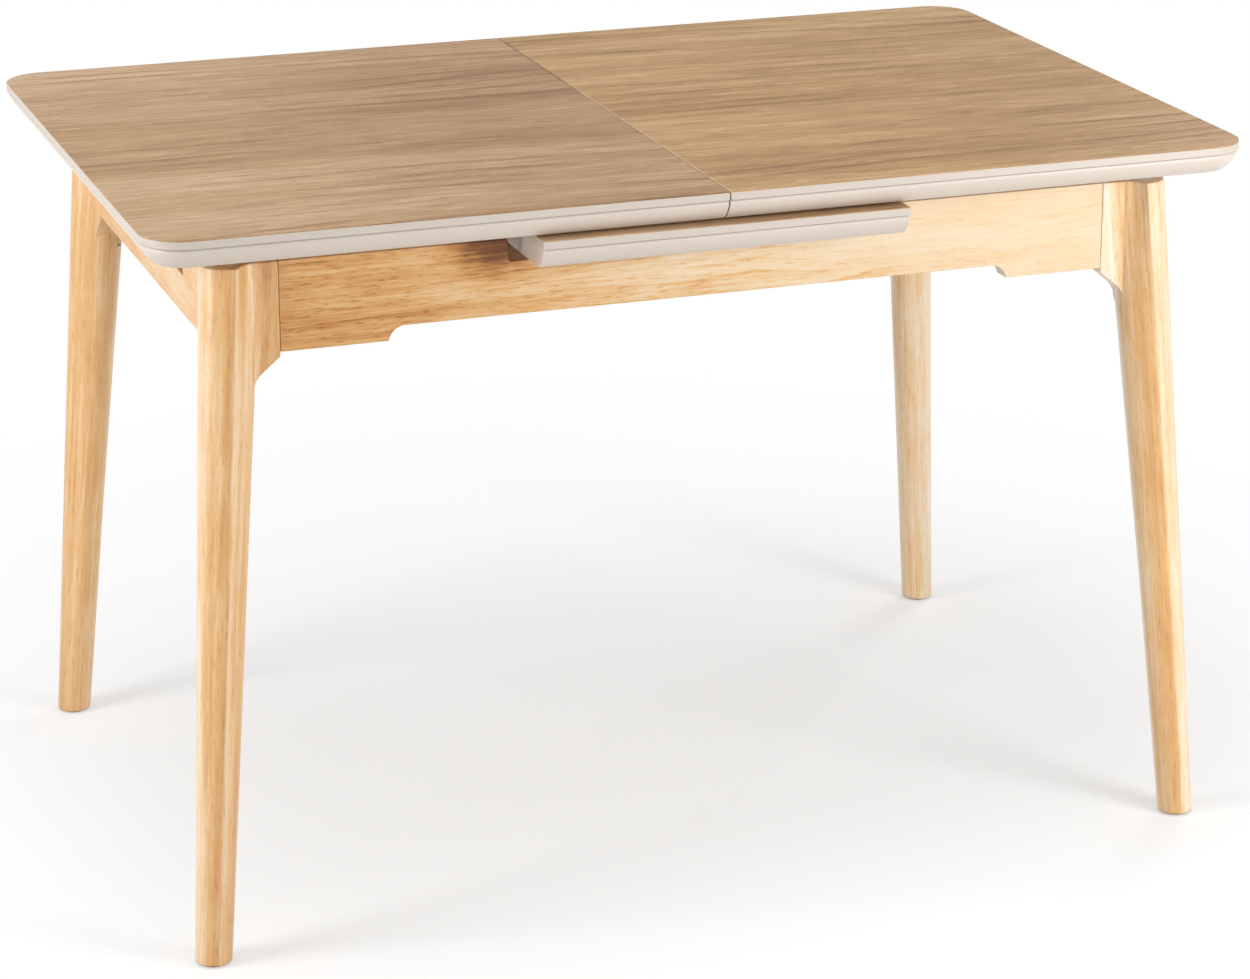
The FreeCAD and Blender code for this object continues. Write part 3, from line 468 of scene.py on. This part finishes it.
def leg_light_and_shade(graph, cloud):
    """Painted shade along the crest of a leg, and painted light and shade on its other faces."""
    x, y, z = graph.place()
    turn = along_leg(graph)[1] / (FOOT_RADIUS + z * COLUMN_SPREAD)
    right = x.then("SIGN")
    front = 0.5 - y.then("SIGN") * 0.5
    crest = 1 - graph.step(abs(turn - by_side(right, CREST_AT) + cloud * 0.2), *CREST_SPAN)
    side = graph.step(turn, by_side(right, SIDE_START), by_side(right, SIDE_END))
    facet = 1 - graph.step(turn, *FACET_SPAN)
    wing = 1 - graph.step(turn, *WING_SPAN)
    # The paler and darker faces are painted light and shade, by the way each face turns to the lamps.
    pale = side * SIDE_PAINTED_LIGHT + facet * by_side(right, FACET_PAINTED_LIGHT) + wing * by_side(right, WING_PAINTED_LIGHT)
    rear = (1 - front) * by_side(right, REAR_PAINTED_LIGHT)
    return crest * by_side(right, CREST_PAINTED_SHADE) - pale * front - rear


leg_finish = timber("leg_finish", along_leg, LEG, leg_light_and_shade)
print("legs", leg_finish.name, "with axes from", round(FOOT_X, 4), round(FOOT_Y, 4))

# %% [markdown]
# ## Bare beech of the hidden pieces
# The rails, runners, spacers, blocks and dowels are hardly seen in use, so they stay bare: beech, with
# faint rings, many short pores and no lacquer. It is the same pattern with other tones and shares.

# %% Bare beech of the hidden pieces
BEECH = {
    "tones": [(0.0, (0.400, 0.250, 0.140)), (0.4, (0.560, 0.390, 0.240)), (1.0, (0.720, 0.560, 0.390))],
    "shares": {"late": 0.10, "tint": 0.16, "streak": 0.14, "cloud": 0.12, "fibre": 0.20, "pore": 0.22},
    "ring": 0.008, "heart": (0.60, -0.2), "taper": 0.02, "sway": 0.02, "seed": 4.4,
    "level": 0.5, "roughness": 0.6}
beech_long = timber("beech_long", along_x, BEECH)
beech_cross = timber("beech_cross", along_y, {**BEECH, "seed": 6.6})
print("beech", beech_long.name, beech_cross.name)

# %% [markdown]
# ## Paint, steel and nylon
# The moulding is a warm grey white satin paint with the faint ripple of a roller. A quirk, a narrow
# groove, runs round it 9 mm under the face. The shadow in the groove is painted as a dark line, and the
# band above it is a shade darker. Zinc plated steel is dull metal with clouds where the plating is
# thicker, and moulded nylon has a fine matt grain.


# %% Paint, steel and nylon
QUIRK_UNDER_FACE = 0.009
QUIRK_SHADOW_SPAN = (0.0003, 0.0011)
QUIRK_SHADOW_END_SPAN = (-0.002, -0.001)
BAND_START = 0.0008
PAINT_RELIEF = 0.00001
STEEL_RELIEF = 0.00002
NYLON_RELIEF = 0.00003
PAINT_TONES = [(0.0, (0.670, 0.585, 0.508)), (1.0, (0.725, 0.643, 0.563))]
BAND_SHADE = (0.10, 0.07, 0.05, 1)
# The colour of the painted shadow in the quirk.
QUIRK_PAINTED_SHADOW = (0.150, 0.105, 0.080, 1)


def paint(name, face, quirk_shadow_end=None):
    """Satin paint with painted shadow in the quirk under a face, all round or each way as far as the last
    argument.
    """
    graph = new_graph(name)
    x, y, z = graph.place()
    quirk_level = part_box(face)[1][2] - QUIRK_UNDER_FACE
    cloud = graph.noise(x * 5, y * 5, z * 5)
    ripple = graph.noise(x * 300, y * 300, z * 300)
    colour = graph.tones(0.5 + cloud * 0.4 + ripple * 0.1, PAINT_TONES)
    band = graph.step(z, quirk_level, quirk_level + BAND_START)
    # Painted shadow: the quirk's groove is painted dark, where the band above shades it.
    quirk_shadow = 1 - graph.step(abs(z - quirk_level), *QUIRK_SHADOW_SPAN)
    if quirk_shadow_end:
        quirk_shadow = quirk_shadow * (1 - graph.step(abs(x), *(quirk_shadow_end + edge for edge in QUIRK_SHADOW_END_SPAN)))
    colour = graph.blend(band * 0.14, colour, BAND_SHADE)
    colour = graph.blend(quirk_shadow * 0.70, colour, QUIRK_PAINTED_SHADOW)
    return finish_material(name, colour, 0.40 + cloud * 0.04, ripple, PAINT_RELIEF)


def plated_steel(name):
    graph = new_graph(name)
    x, y, z = graph.place()
    cloud = graph.noise(x * 160, y * 160, z * 160, detail=3)
    colour = graph.tones(0.5 + cloud * 0.5, [(0.0, (0.420, 0.430, 0.450)), (1.0, (0.680, 0.690, 0.700))])
    return finish_material(name, colour, 0.34 + cloud * 0.10, cloud, STEEL_RELIEF, {"Metallic": 1.0})


def nylon(name, dark, pale):
    graph = new_graph(name)
    x, y, z = graph.place()
    speckle = graph.noise(x * 900, y * 900, z * 900)
    colour = graph.tones(0.5 + speckle * 0.5, [(0.0, dark), (1.0, pale)])
    return finish_material(name, colour, 0.5 + speckle * 0.08, speckle, NYLON_RELIEF)


top_paint = paint("top_paint", "top_veneer_left")
leaf_paint = paint("leaf_paint", "leaf_veneer", quirk_shadow_end=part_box("leaf_board")[1][0])
steel = plated_steel("steel")
glide_nylon = nylon("glide_nylon", (0.020, 0.014, 0.010), (0.050, 0.036, 0.026))
button_nylon = nylon("button_nylon", (0.680, 0.665, 0.610), (0.800, 0.785, 0.730))
print("paint, steel and nylon ready")

# %% [markdown]
# ## Pieces with eased edges
# No joiner leaves a knife edge: each arris is rubbed down with sandpaper and then catches the light as a
# thin line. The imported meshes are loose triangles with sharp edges. A copy has its doubles merged and
# its flat faces joined, and then a bevel rounds every edge that turns by more than a set angle.


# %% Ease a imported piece
SHARP_TURN = 28
BEVEL_SEGMENTS = 2
FLAT_TURN = 0.5
DOUBLE_DISTANCE = 1e-6


def soften(mesh, turn):
    """Shade a mesh smooth, but for the edges that turn by more than an angle."""
    for face in mesh.polygons:
        face.use_smooth = True
    mesh.set_sharp_from_angle(angle=math.radians(turn))


def show(node, source):
    """Make an object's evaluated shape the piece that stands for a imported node."""
    shown = bpy.data.meshes.new_from_object(source.evaluated_get(bpy.context.evaluated_depsgraph_get()))
    bpy.data.objects.remove(source)
    piece = bpy.data.objects.new(f"shown_{node}", shown)
    bpy.context.collection.objects.link(piece)
    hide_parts(node)
    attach(piece, BODY_OF[node])
    return piece


def merged(node):
    """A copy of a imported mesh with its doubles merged."""
    form = bmesh.new()
    form.from_mesh(frame["nodes"][node].data)
    bmesh.ops.remove_doubles(form, verts=form.verts, dist=DOUBLE_DISTANCE)
    return form


def eased(node, material, width):
    """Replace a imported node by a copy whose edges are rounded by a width."""
    form = merged(node)
    bmesh.ops.dissolve_limit(form, angle_limit=math.radians(FLAT_TURN), verts=form.verts, edges=form.edges)
    mesh = bpy.data.meshes.new(node)
    form.to_mesh(mesh)
    form.free()
    mesh.materials.append(material)
    soften(mesh, SHARP_TURN)
    rough = bpy.data.objects.new("rough", mesh)
    bpy.context.collection.objects.link(rough)
    if width:
        bevel = rough.modifiers.new("eased_edges", "BEVEL")
        bevel.width = width
        bevel.segments = BEVEL_SEGMENTS
        bevel.limit_method = "ANGLE"
        bevel.angle_limit = math.radians(SHARP_TURN)
        bevel.use_clamp_overlap = False
        bevel.harden_normals = True
    return show(node, rough)


def open_edges(mesh):
    """How many edges don't lie between two faces: 0 on a closed piece."""
    form = bmesh.new()
    form.from_mesh(mesh)
    count = sum(1 for edge in form.edges if not edge.is_manifold)
    form.free()
    return count


print("edges count as sharp where they turn by", SHARP_TURN, "degrees")

# %% [markdown]
# ## All solid pieces
# Each piece takes the finish that it has on the real table. How far its edges are rounded depends on the
# piece: a leg's the most, as hands and shoes wear them, the other sawn wood's less, and the runners', the
# glides' and the painted boards' only a little. The oak faces are thin sheets, and stay as they are.

# %% Ease all solid pieces
PLACES = ("front_left", "front_right", "rear_left", "rear_right")
SIDES = ("left", "right")
ROWS = ("front", "rear")
LEG_EASE = 0.0016
WOOD_EASE = 0.0008
SLIM_EASE = 0.0006
GLIDE_EASE = 0.0005
PAINT_EASE = 0.0004
NOT_EASED = 0.0
solid_pieces = [(f"leg_{place}", leg_finish, LEG_EASE) for place in PLACES]
solid_pieces += [(f"apron_{row}", apron_long, WOOD_EASE) for row in ROWS]
solid_pieces += [(f"apron_{side}", apron_short, WOOD_EASE) for side in SIDES]
solid_pieces += [(f"corner_block_{place}", beech_long, WOOD_EASE) for place in PLACES]
solid_pieces += [(f"cross_rail_{side}", beech_cross, WOOD_EASE) for side in SIDES]
solid_pieces += [(f"guide_rail_{row}", beech_long, SLIM_EASE) for row in ROWS]
for side, face in (("left", oak_left), ("right", oak_right)):
    solid_pieces += [(f"top_board_{side}", top_paint, PAINT_EASE), (f"top_veneer_{side}", face, NOT_EASED),
                     (f"stop_blocks_{side}", beech_long, WOOD_EASE)]
    solid_pieces += [(f"{part}_{side}_{row}", beech_long, SLIM_EASE)
                     for part in ("runner", "spacer") for row in ROWS]
solid_pieces += [("leaf_board", leaf_paint, PAINT_EASE), ("leaf_veneer", oak_leaf, NOT_EASED)]
solid_pieces += [(f"glide_{place}", glide_nylon, GLIDE_EASE) for place in PLACES]
still_open = sum(open_edges(eased(node, material, width).data) for node, material, width in solid_pieces)
print("eased pieces:", len(solid_pieces), "with", still_open, "open edges")

# %% [markdown]
# ## Hardware
# Screws, bolts, nuts, washers, dowels, pins and buttons repeat, so Geometry Nodes make them. Each is
# turned: a profile runs from the middle of the top outwards and down, and goes round the axis. A grid is
# the profile's chart: its columns take the profile's radii and heights, and its rows take the angles. An
# angle may change the radius too, which cuts a thread, a flute or a nut's six flats. The fitting is then
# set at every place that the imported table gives, along the axis that is measured there.


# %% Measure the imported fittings
END_DEPTH = 1e-4
SAME_RADIUS = 1e-4


def fittings(node):
    """The top's middle, the axis towards the top, the length and the radii of each solid of a node."""
    form = merged(node)
    left = set(form.verts)
    found = []
    while left:
        group = [left.pop()]
        for vertex in group:
            for edge in vertex.link_edges:
                other = edge.other_vert(vertex)
                if other in left:
                    left.remove(other)
                    group.append(other)
        spots = np.array([vertex.co[:] for vertex in group])
        middle = spots.mean(axis=0)
        values, ways = np.linalg.eigh(np.cov((spots - middle).T))
        axis = ways[:, 0] if values[2] - values[1] < values[1] - values[0] else ways[:, 2]
        if axis[int(np.argmax(np.abs(axis)))] < 0:
            axis = -axis
        along = (spots - middle) @ axis
        radii = np.linalg.norm(spots - middle - np.outer(along, axis), axis=1)
        ends = [radii[along < along.min() + END_DEPTH].max(), radii[along > along.max() - END_DEPTH].max()]
        if ends[0] > ends[1] + SAME_RADIUS:
            axis, along = -axis, -along
        found.append({"top": middle + axis * along.max(), "axis": axis, "Length": float(np.ptp(along)),
                      "Radius": float(radii.max()), "Inner radius": float(radii.min()),
                      "Shank radius": float(min(ends))})
    form.free()
    return found


example = fittings("runner_screws_left")[0]
print("a runner's screw is", round(example["Length"] * 1000, 1), "mm long")

# %% [markdown]
# ## The turning tree
# Every kind of fitting has a tree of its own, and one function fills them all: only the profile and the
# thread differ. The sizes are the tree's inputs, so that one tree serves long and short screws. The grid
# holds the chart, and its points are then moved to where the profile and the angle put them.


# %% The turning tree
def turning(name, sizes, columns, segments, shape):
    """A tree that turns a profile and sets one at every point it is given, along the point's axis."""
    tree = bpy.data.node_groups.new(name, "GeometryNodeTree")
    tree.interface.new_socket("Places", in_out="INPUT", socket_type="NodeSocketGeometry")
    tree.interface.new_socket("Material", in_out="INPUT", socket_type="NodeSocketMaterial")
    for size, value in sizes.items():
        tree.interface.new_socket(size, in_out="INPUT", socket_type="NodeSocketFloat").default_value = value
    tree.interface.new_socket("Fittings", in_out="OUTPUT", socket_type="NodeSocketGeometry")
    graph = Graph(tree)
    given = tree.nodes.new("NodeGroupInput")
    size = {socket.name: Wire(graph, socket) for socket in given.outputs if socket.name}
    chart = graph.node("GeometryNodeMeshGrid", None, {
        "Size X": columns - 1.0, "Size Y": 1.0, "Vertices X": columns, "Vertices Y": segments + 1})
    spot = graph.node("GeometryNodeInputPosition")
    column = graph.node("ShaderNodeSeparateXYZ", None, {0: spot}, out=0) + (columns - 1) / 2
    angle = (graph.node("ShaderNodeSeparateXYZ", None, {0: spot}, out=1) + 0.5) * math.tau
    radius, height = shape(size, column, angle)
    place = graph.point(radius * angle.then("COSINE"), radius * angle.then("SINE"), height)
    turned = graph.node("GeometryNodeSetPosition", None, {"Geometry": chart, "Position": place})
    turned = graph.node("GeometryNodeMergeByDistance", None, {
        "Geometry": turned, "Distance": DOUBLE_DISTANCE})
    axis = graph.node("GeometryNodeInputNamedAttribute", {"data_type": "FLOAT_VECTOR"}, {"Name": "axis"})
    facing = graph.node("FunctionNodeAlignRotationToVector", {"axis": "Z"}, {"Vector": axis})
    placed = graph.node("GeometryNodeInstanceOnPoints", None, {
        "Points": size["Places"], "Instance": turned, "Rotation": facing})
    real = graph.node("GeometryNodeRealizeInstances", None, {"Geometry": placed})
    done = graph.node("GeometryNodeSetMaterial", None, {"Geometry": real, "Material": size["Material"]})
    tree.links.new(done.port, tree.nodes.new("NodeGroupOutput").inputs[0])
    return tree


def profile(column, points):
    """The radius and the height that the given points set at columns 0, 1, 2 and so on."""
    radius = height = 0.0
    for number, (out, up) in enumerate(points):
        here = column.then("COMPARE", number, 0.5)
        radius = here * out + radius
        height = here * up + height
    return radius, height


def thread(column, angle, first, count, start, stop, radius, pitch, depth):
    """A screw thread over count columns from one height to another."""
    share = (column - first) / (count - 1)
    inside = column.then("COMPARE", first + (count - 1) / 2, count / 2)
    height = start + (stop - start) * share
    wave = height / pitch + angle / math.tau
    ridge = abs(wave.then("FRACT") - 0.5) * 2
    return inside * (radius - depth + ridge * depth), inside * height


print("turning helpers ready")

# %% [markdown]
# ## Screws and bolts
# A wood screw has a pan head with a cross recess, a thread and a point. A hanger bolt has no head and is
# threaded from end to end. The recess is cut where the flat top's columns lie within a cross. A thread
# needs a few columns for each of its turns, so most of the chart's columns go into it.


# %% Screws and bolts
SCREW_HEAD_COLUMNS, SCREW_THREAD_COLUMNS = 7, 64
BOLT_END_COLUMNS, BOLT_THREAD_COLUMNS = 2, 180
SCREW_THREAD_DEPTH = 0.26
BOLT_THREAD_DEPTH = 0.16
CROSS_WIDTH = 0.12


def screw(size, column, angle):
    """A pan head with a cross recess, a threaded shank and a point."""
    head, shank, length = size["Radius"], size["Shank radius"], size["Length"]
    tall = size["Head height"]
    radius, height = profile(column, [
        (0.0, 0.0), (head * 0.25, 0.0), (head * 0.5, 0.0), (head * 0.8, 0.0), (head, tall * -0.35),
        (head, -tall), (shank, -tall)])
    cut_radius, cut_height = thread(column, angle, SCREW_HEAD_COLUMNS, SCREW_THREAD_COLUMNS, -tall,
                                    shank * 2 - length, shank, size["Pitch"],
                                    shank * SCREW_THREAD_DEPTH)
    tip = column.then("COMPARE", SCREW_HEAD_COLUMNS + SCREW_THREAD_COLUMNS, 0.5)
    across = abs(radius * angle.then("COSINE"))
    deep = abs(radius * angle.then("SINE"))
    cross = across.then("MINIMUM", deep).then("LESS_THAN", head * CROSS_WIDTH) * column.then("LESS_THAN", 2.5)
    return radius + cut_radius, height + cut_height - tip * length - cross * size["Recess"]


def bolt(size, column, angle):
    """A headless bolt, threaded from end to end, with chamfered ends."""
    rod, length = size["Radius"], size["Length"]
    radius, height = profile(column, [(0.0, 0.0), (rod * 0.7, 0.0)])
    cut_radius, cut_height = thread(column, angle, BOLT_END_COLUMNS, BOLT_THREAD_COLUMNS, rod * -0.25,
                                    rod * 0.25 - length, rod, size["Pitch"], rod * BOLT_THREAD_DEPTH)
    last = column.then("COMPARE", BOLT_END_COLUMNS + BOLT_THREAD_COLUMNS, 0.5)
    tip = column.then("COMPARE", BOLT_END_COLUMNS + BOLT_THREAD_COLUMNS + 1, 0.5)
    return radius + cut_radius + last * rod * 0.7, height + cut_height - (last + tip) * length


BASIC = {"Radius": 0.004, "Length": 0.03}
SCREW_SIZES = {**BASIC, "Shank radius": 0.0022, "Head height": 0.003, "Pitch": 0.0019, "Recess": 0.0012}
screw_tree = turning("wood_screw", SCREW_SIZES, SCREW_HEAD_COLUMNS + SCREW_THREAD_COLUMNS + 1, 16, screw)
bolt_tree = turning("hanger_bolt", {**BASIC, "Pitch": 0.002},
                    BOLT_END_COLUMNS + BOLT_THREAD_COLUMNS + 2, 16, bolt)
print("trees", len(bpy.data.node_groups))

# %% [markdown]
# ## Nuts, washers, dowels and buttons
# A nut is turned too, with a radius that swings six times between its flats and its corners. A washer is
# a flat ring with a rounded rim. A dowel has chamfered ends and flutes that let the glue out, and the
# pins that only line pieces up have no flutes. The rest buttons are low discs. Each profile starts and
# ends on the axis, or at the wall of its hole, so that the turned shape closes.


# %% Nuts, washers, dowels and buttons
FLUTES = 12
RIM_EASE = 0.0004


def nut(size, column, angle):
    """Six flats, chamfered at both faces, round a hole."""
    flat, hole, tall = size["Radius"] * math.cos(math.pi / 6), size["Inner radius"], size["Length"]
    turn = angle.then("MODULO", math.pi / 3) - math.pi / 6
    six = flat / turn.then("COSINE")
    return profile(column, [(hole, 0.0), (flat * 0.95, 0.0), (six, tall * -0.12), (six, tall * -0.88),
                            (flat * 0.95, -tall), (hole, -tall), (hole, 0.0)])


def washer(size, column, angle):
    """A flat ring with a rounded rim."""
    rim, hole, tall = size["Radius"], size["Inner radius"], size["Length"]
    return profile(column, [(hole, 0.0), (rim - RIM_EASE, 0.0), (rim, tall * -0.25), (rim, tall * -0.75),
                            (rim - RIM_EASE, -tall), (hole, -tall), (hole, 0.0)])


def dowel(size, column, angle):
    """A peg with chamfered ends and, where the flute isn't 0, grooves for the glue."""
    peg, length, ease = size["Radius"], size["Length"], size["Chamfer"]
    waves = angle * FLUTES
    body = peg - size["Flute"] * (0.5 + 0.5 * waves.then("COSINE"))
    return profile(column, [(0.0, 0.0), (peg - ease, 0.0), (body, -ease), (body, ease - length),
                            (peg - ease, -length), (0.0, -length)])


def button(size, column, angle):
    """A flat disc with a rounded rim."""
    rim, tall = size["Radius"], size["Length"]
    return profile(column, [(0.0, 0.0), (rim * 0.75, 0.0), (rim * 0.92, tall * -0.12), (rim, tall * -0.45),
                            (rim, -tall), (0.0, -tall)])


nut_tree = turning("hexagon_nut", {**BASIC, "Inner radius": 0.004}, 7, 24, nut)
washer_tree = turning("washer", {**BASIC, "Inner radius": 0.004}, 7, 32, washer)
dowel_tree = turning("dowel", {**BASIC, "Chamfer": 0.001, "Flute": 0.0003}, 6, 24, dowel)
button_tree = turning("rest_button", BASIC, 6, 32, button)
print("trees", len(bpy.data.node_groups))

# %% [markdown]
# ## Fittings in their places
# A mesh of loose points holds the places, and an attribute named axis holds the directions. The tree sets
# a turned fitting at each point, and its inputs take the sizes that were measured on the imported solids.
# The result becomes one plain mesh for each node, because an export drops instances.


# %% Set the fittings in their places
FITTING_TURN = 32


def fit_out(node, tree, material, **sizes):
    """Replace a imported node's solids by turned fittings of their sizes."""
    found = fittings(node)
    mesh = bpy.data.meshes.new(f"places_{node}")
    mesh.from_pydata([item["top"] for item in found], [], [])
    facing = mesh.attributes.new("axis", "FLOAT_VECTOR", "POINT")
    for number, item in enumerate(found):
        facing.data[number].vector = item["axis"]
    holder = bpy.data.objects.new("places", mesh)
    bpy.context.collection.objects.link(holder)
    values = {**found[0], **sizes, "Material": material}
    modifier = holder.modifiers.new("fittings", "NODES")
    modifier.node_group = tree
    for socket in tree.interface.items_tree:
        if socket.in_out == "INPUT" and socket.name in values:
            modifier[socket.identifier] = values[socket.name]
    piece = show(node, holder)
    soften(piece.data, FITTING_TURN)
    print(node, len(found), "fittings,", len(piece.data.polygons), "faces")


for node in ("corner_block_screws", "guide_rail_screws", "runner_screws_left", "runner_screws_right"):
    fit_out(node, screw_tree, steel)
fit_out("hanger_bolts", bolt_tree, steel)
fit_out("hanger_nuts", nut_tree, steel)
fit_out("hanger_washers", washer_tree, steel)
fit_out("leg_dowels", dowel_tree, beech_long)
fit_out("cross_rail_dowels", dowel_tree, beech_cross)
for node in ("alignment_pins", "leaf_pins"):
    fit_out(node, dowel_tree, beech_long, Chamfer=0.0015, Flute=0.0)
fit_out("leaf_rest_buttons", button_tree, button_nylon)

# %% [markdown]
# ## Floor and world
# The table stands on a pale floor that fades into white. The floor and the world look white to the
# camera and in reflections, while only soft light falls on the table, so that its colours stay as they
# are written. Near the table a diffuse share of the floor keeps the shadow, and further out the glow
# takes over, so that the floor has no edge.


# %% Floor and world
FLOOR_REACH = 9.0
FLOOR_BOUNCE = 0.60
SHADOW_MIDDLE = 0.10
SHADOW_FLATNESS = 1.3
SHADOW_SPAN = (0.55, 1.5)
SHADOW_GLOW = 0.35
SKY_LIGHT = 0.40


def white_to_camera(graph):
    """1 for the rays that show the background, and 0 for the rays that light the table."""
    rays = graph.tree.nodes.new("ShaderNodeLightPath")
    seen = [Wire(graph, rays.outputs[name])
            for name in ("Is Camera Ray", "Is Glossy Ray", "Is Transmission Ray")]
    return seen[0].then("MAXIMUM", seen[1]).then("MAXIMUM", seen[2])


floor_mesh = bpy.data.meshes.new("studio_floor")
corners = [(-FLOOR_REACH, -FLOOR_REACH, 0), (FLOOR_REACH, -FLOOR_REACH, 0), (FLOOR_REACH, FLOOR_REACH, 0),
           (-FLOOR_REACH, FLOOR_REACH, 0)]
floor_mesh.from_pydata(corners, [], [(0, 1, 2, 3)])
floor = bpy.data.objects.new("studio_floor", floor_mesh)
bpy.context.collection.objects.link(floor)
ground = new_graph("studio_floor")
ground.tree.nodes.remove(ground.tree.nodes["Principled BSDF"])
bounce = ground.node("ShaderNodeBsdfDiffuse", None, {"Color": (FLOOR_BOUNCE, FLOOR_BOUNCE, FLOOR_BOUNCE, 1)})
glow = ground.node("ShaderNodeEmission", None, {"Color": (1, 1, 1, 1), "Strength": 1.0})
bright = ground.node("ShaderNodeBsdfDiffuse", None, {"Color": (1, 1, 1, 1)})
x, y = ground.place()[:2]
aside = x - SHADOW_MIDDLE
fade = ground.step((aside * aside * SHADOW_FLATNESS + y * y) ** 0.5, *SHADOW_SPAN)
lifted = ground.node("ShaderNodeMixShader", None, {
    0: SHADOW_GLOW + fade * (1 - SHADOW_GLOW), 1: bright, 2: glow})
surface = ground.node("ShaderNodeMixShader", None, {0: white_to_camera(ground), 1: bounce, 2: lifted})
ground.tree.links.new(surface.port, ground.tree.nodes["Material Output"].inputs["Surface"])
floor_mesh.materials.append(bpy.data.materials["studio_floor"])

world = bpy.data.worlds.new("studio")
bpy.context.scene.world = world
world.use_nodes = True
sky = Graph(world.node_tree)
strength = SKY_LIGHT + white_to_camera(sky) * (1 - SKY_LIGHT)
background = world.node_tree.nodes["Background"]
background.inputs["Color"].default_value = (1, 1, 1, 1)
world.node_tree.links.new(strength.port, background.inputs["Strength"])
print("floor and world ready")

# %% [markdown]
# ## Softboxes
# A large softbox at the right, in front, gives the pale side of the legs and aprons, and one at the left
# gives their other side. A weak one from the front fills the shade between them, one behind parts the
# legs from the floor, and one above lights the top. All are far from the table and weak, so that no pale
# surface turns plain white.


# %% Softboxes
def softbox(name, place, aim, width, height, power):
    """A rectangular lamp that looks from its place to its aim."""
    lamp = bpy.data.lights.new(name, "AREA")
    lamp.shape = "RECTANGLE"
    lamp.size = width
    lamp.size_y = height
    lamp.energy = power
    holder = bpy.data.objects.new(name, lamp)
    holder.location = place
    holder.rotation_euler = (Vector(aim) - Vector(place)).to_track_quat("-Z", "Y").to_euler()
    bpy.context.collection.objects.link(holder)


softbox("right_softbox", (1.55, -2.05, 0.95), (0.25, -0.30, 0.50), width=0.9, height=1.3, power=33)
softbox("front_softbox", (0.60, -3.00, 0.70), (0.0, -0.3, 0.5), width=1.6, height=1.0, power=11)
softbox("left_softbox", (-2.6, -0.40, 1.10), (-0.2, 0.0, 0.5), width=1.0, height=1.6, power=39)
softbox("rear_softbox", (2.3, 1.7, 1.1), (0.3, 0.2, 0.5), width=1.0, height=1.4, power=18)
softbox("top_softbox", (-0.2, -0.1, 2.6), (0.0, 0.0, 0.7), width=1.8, height=1.6, power=22)
print("softboxes", len(bpy.data.lights))
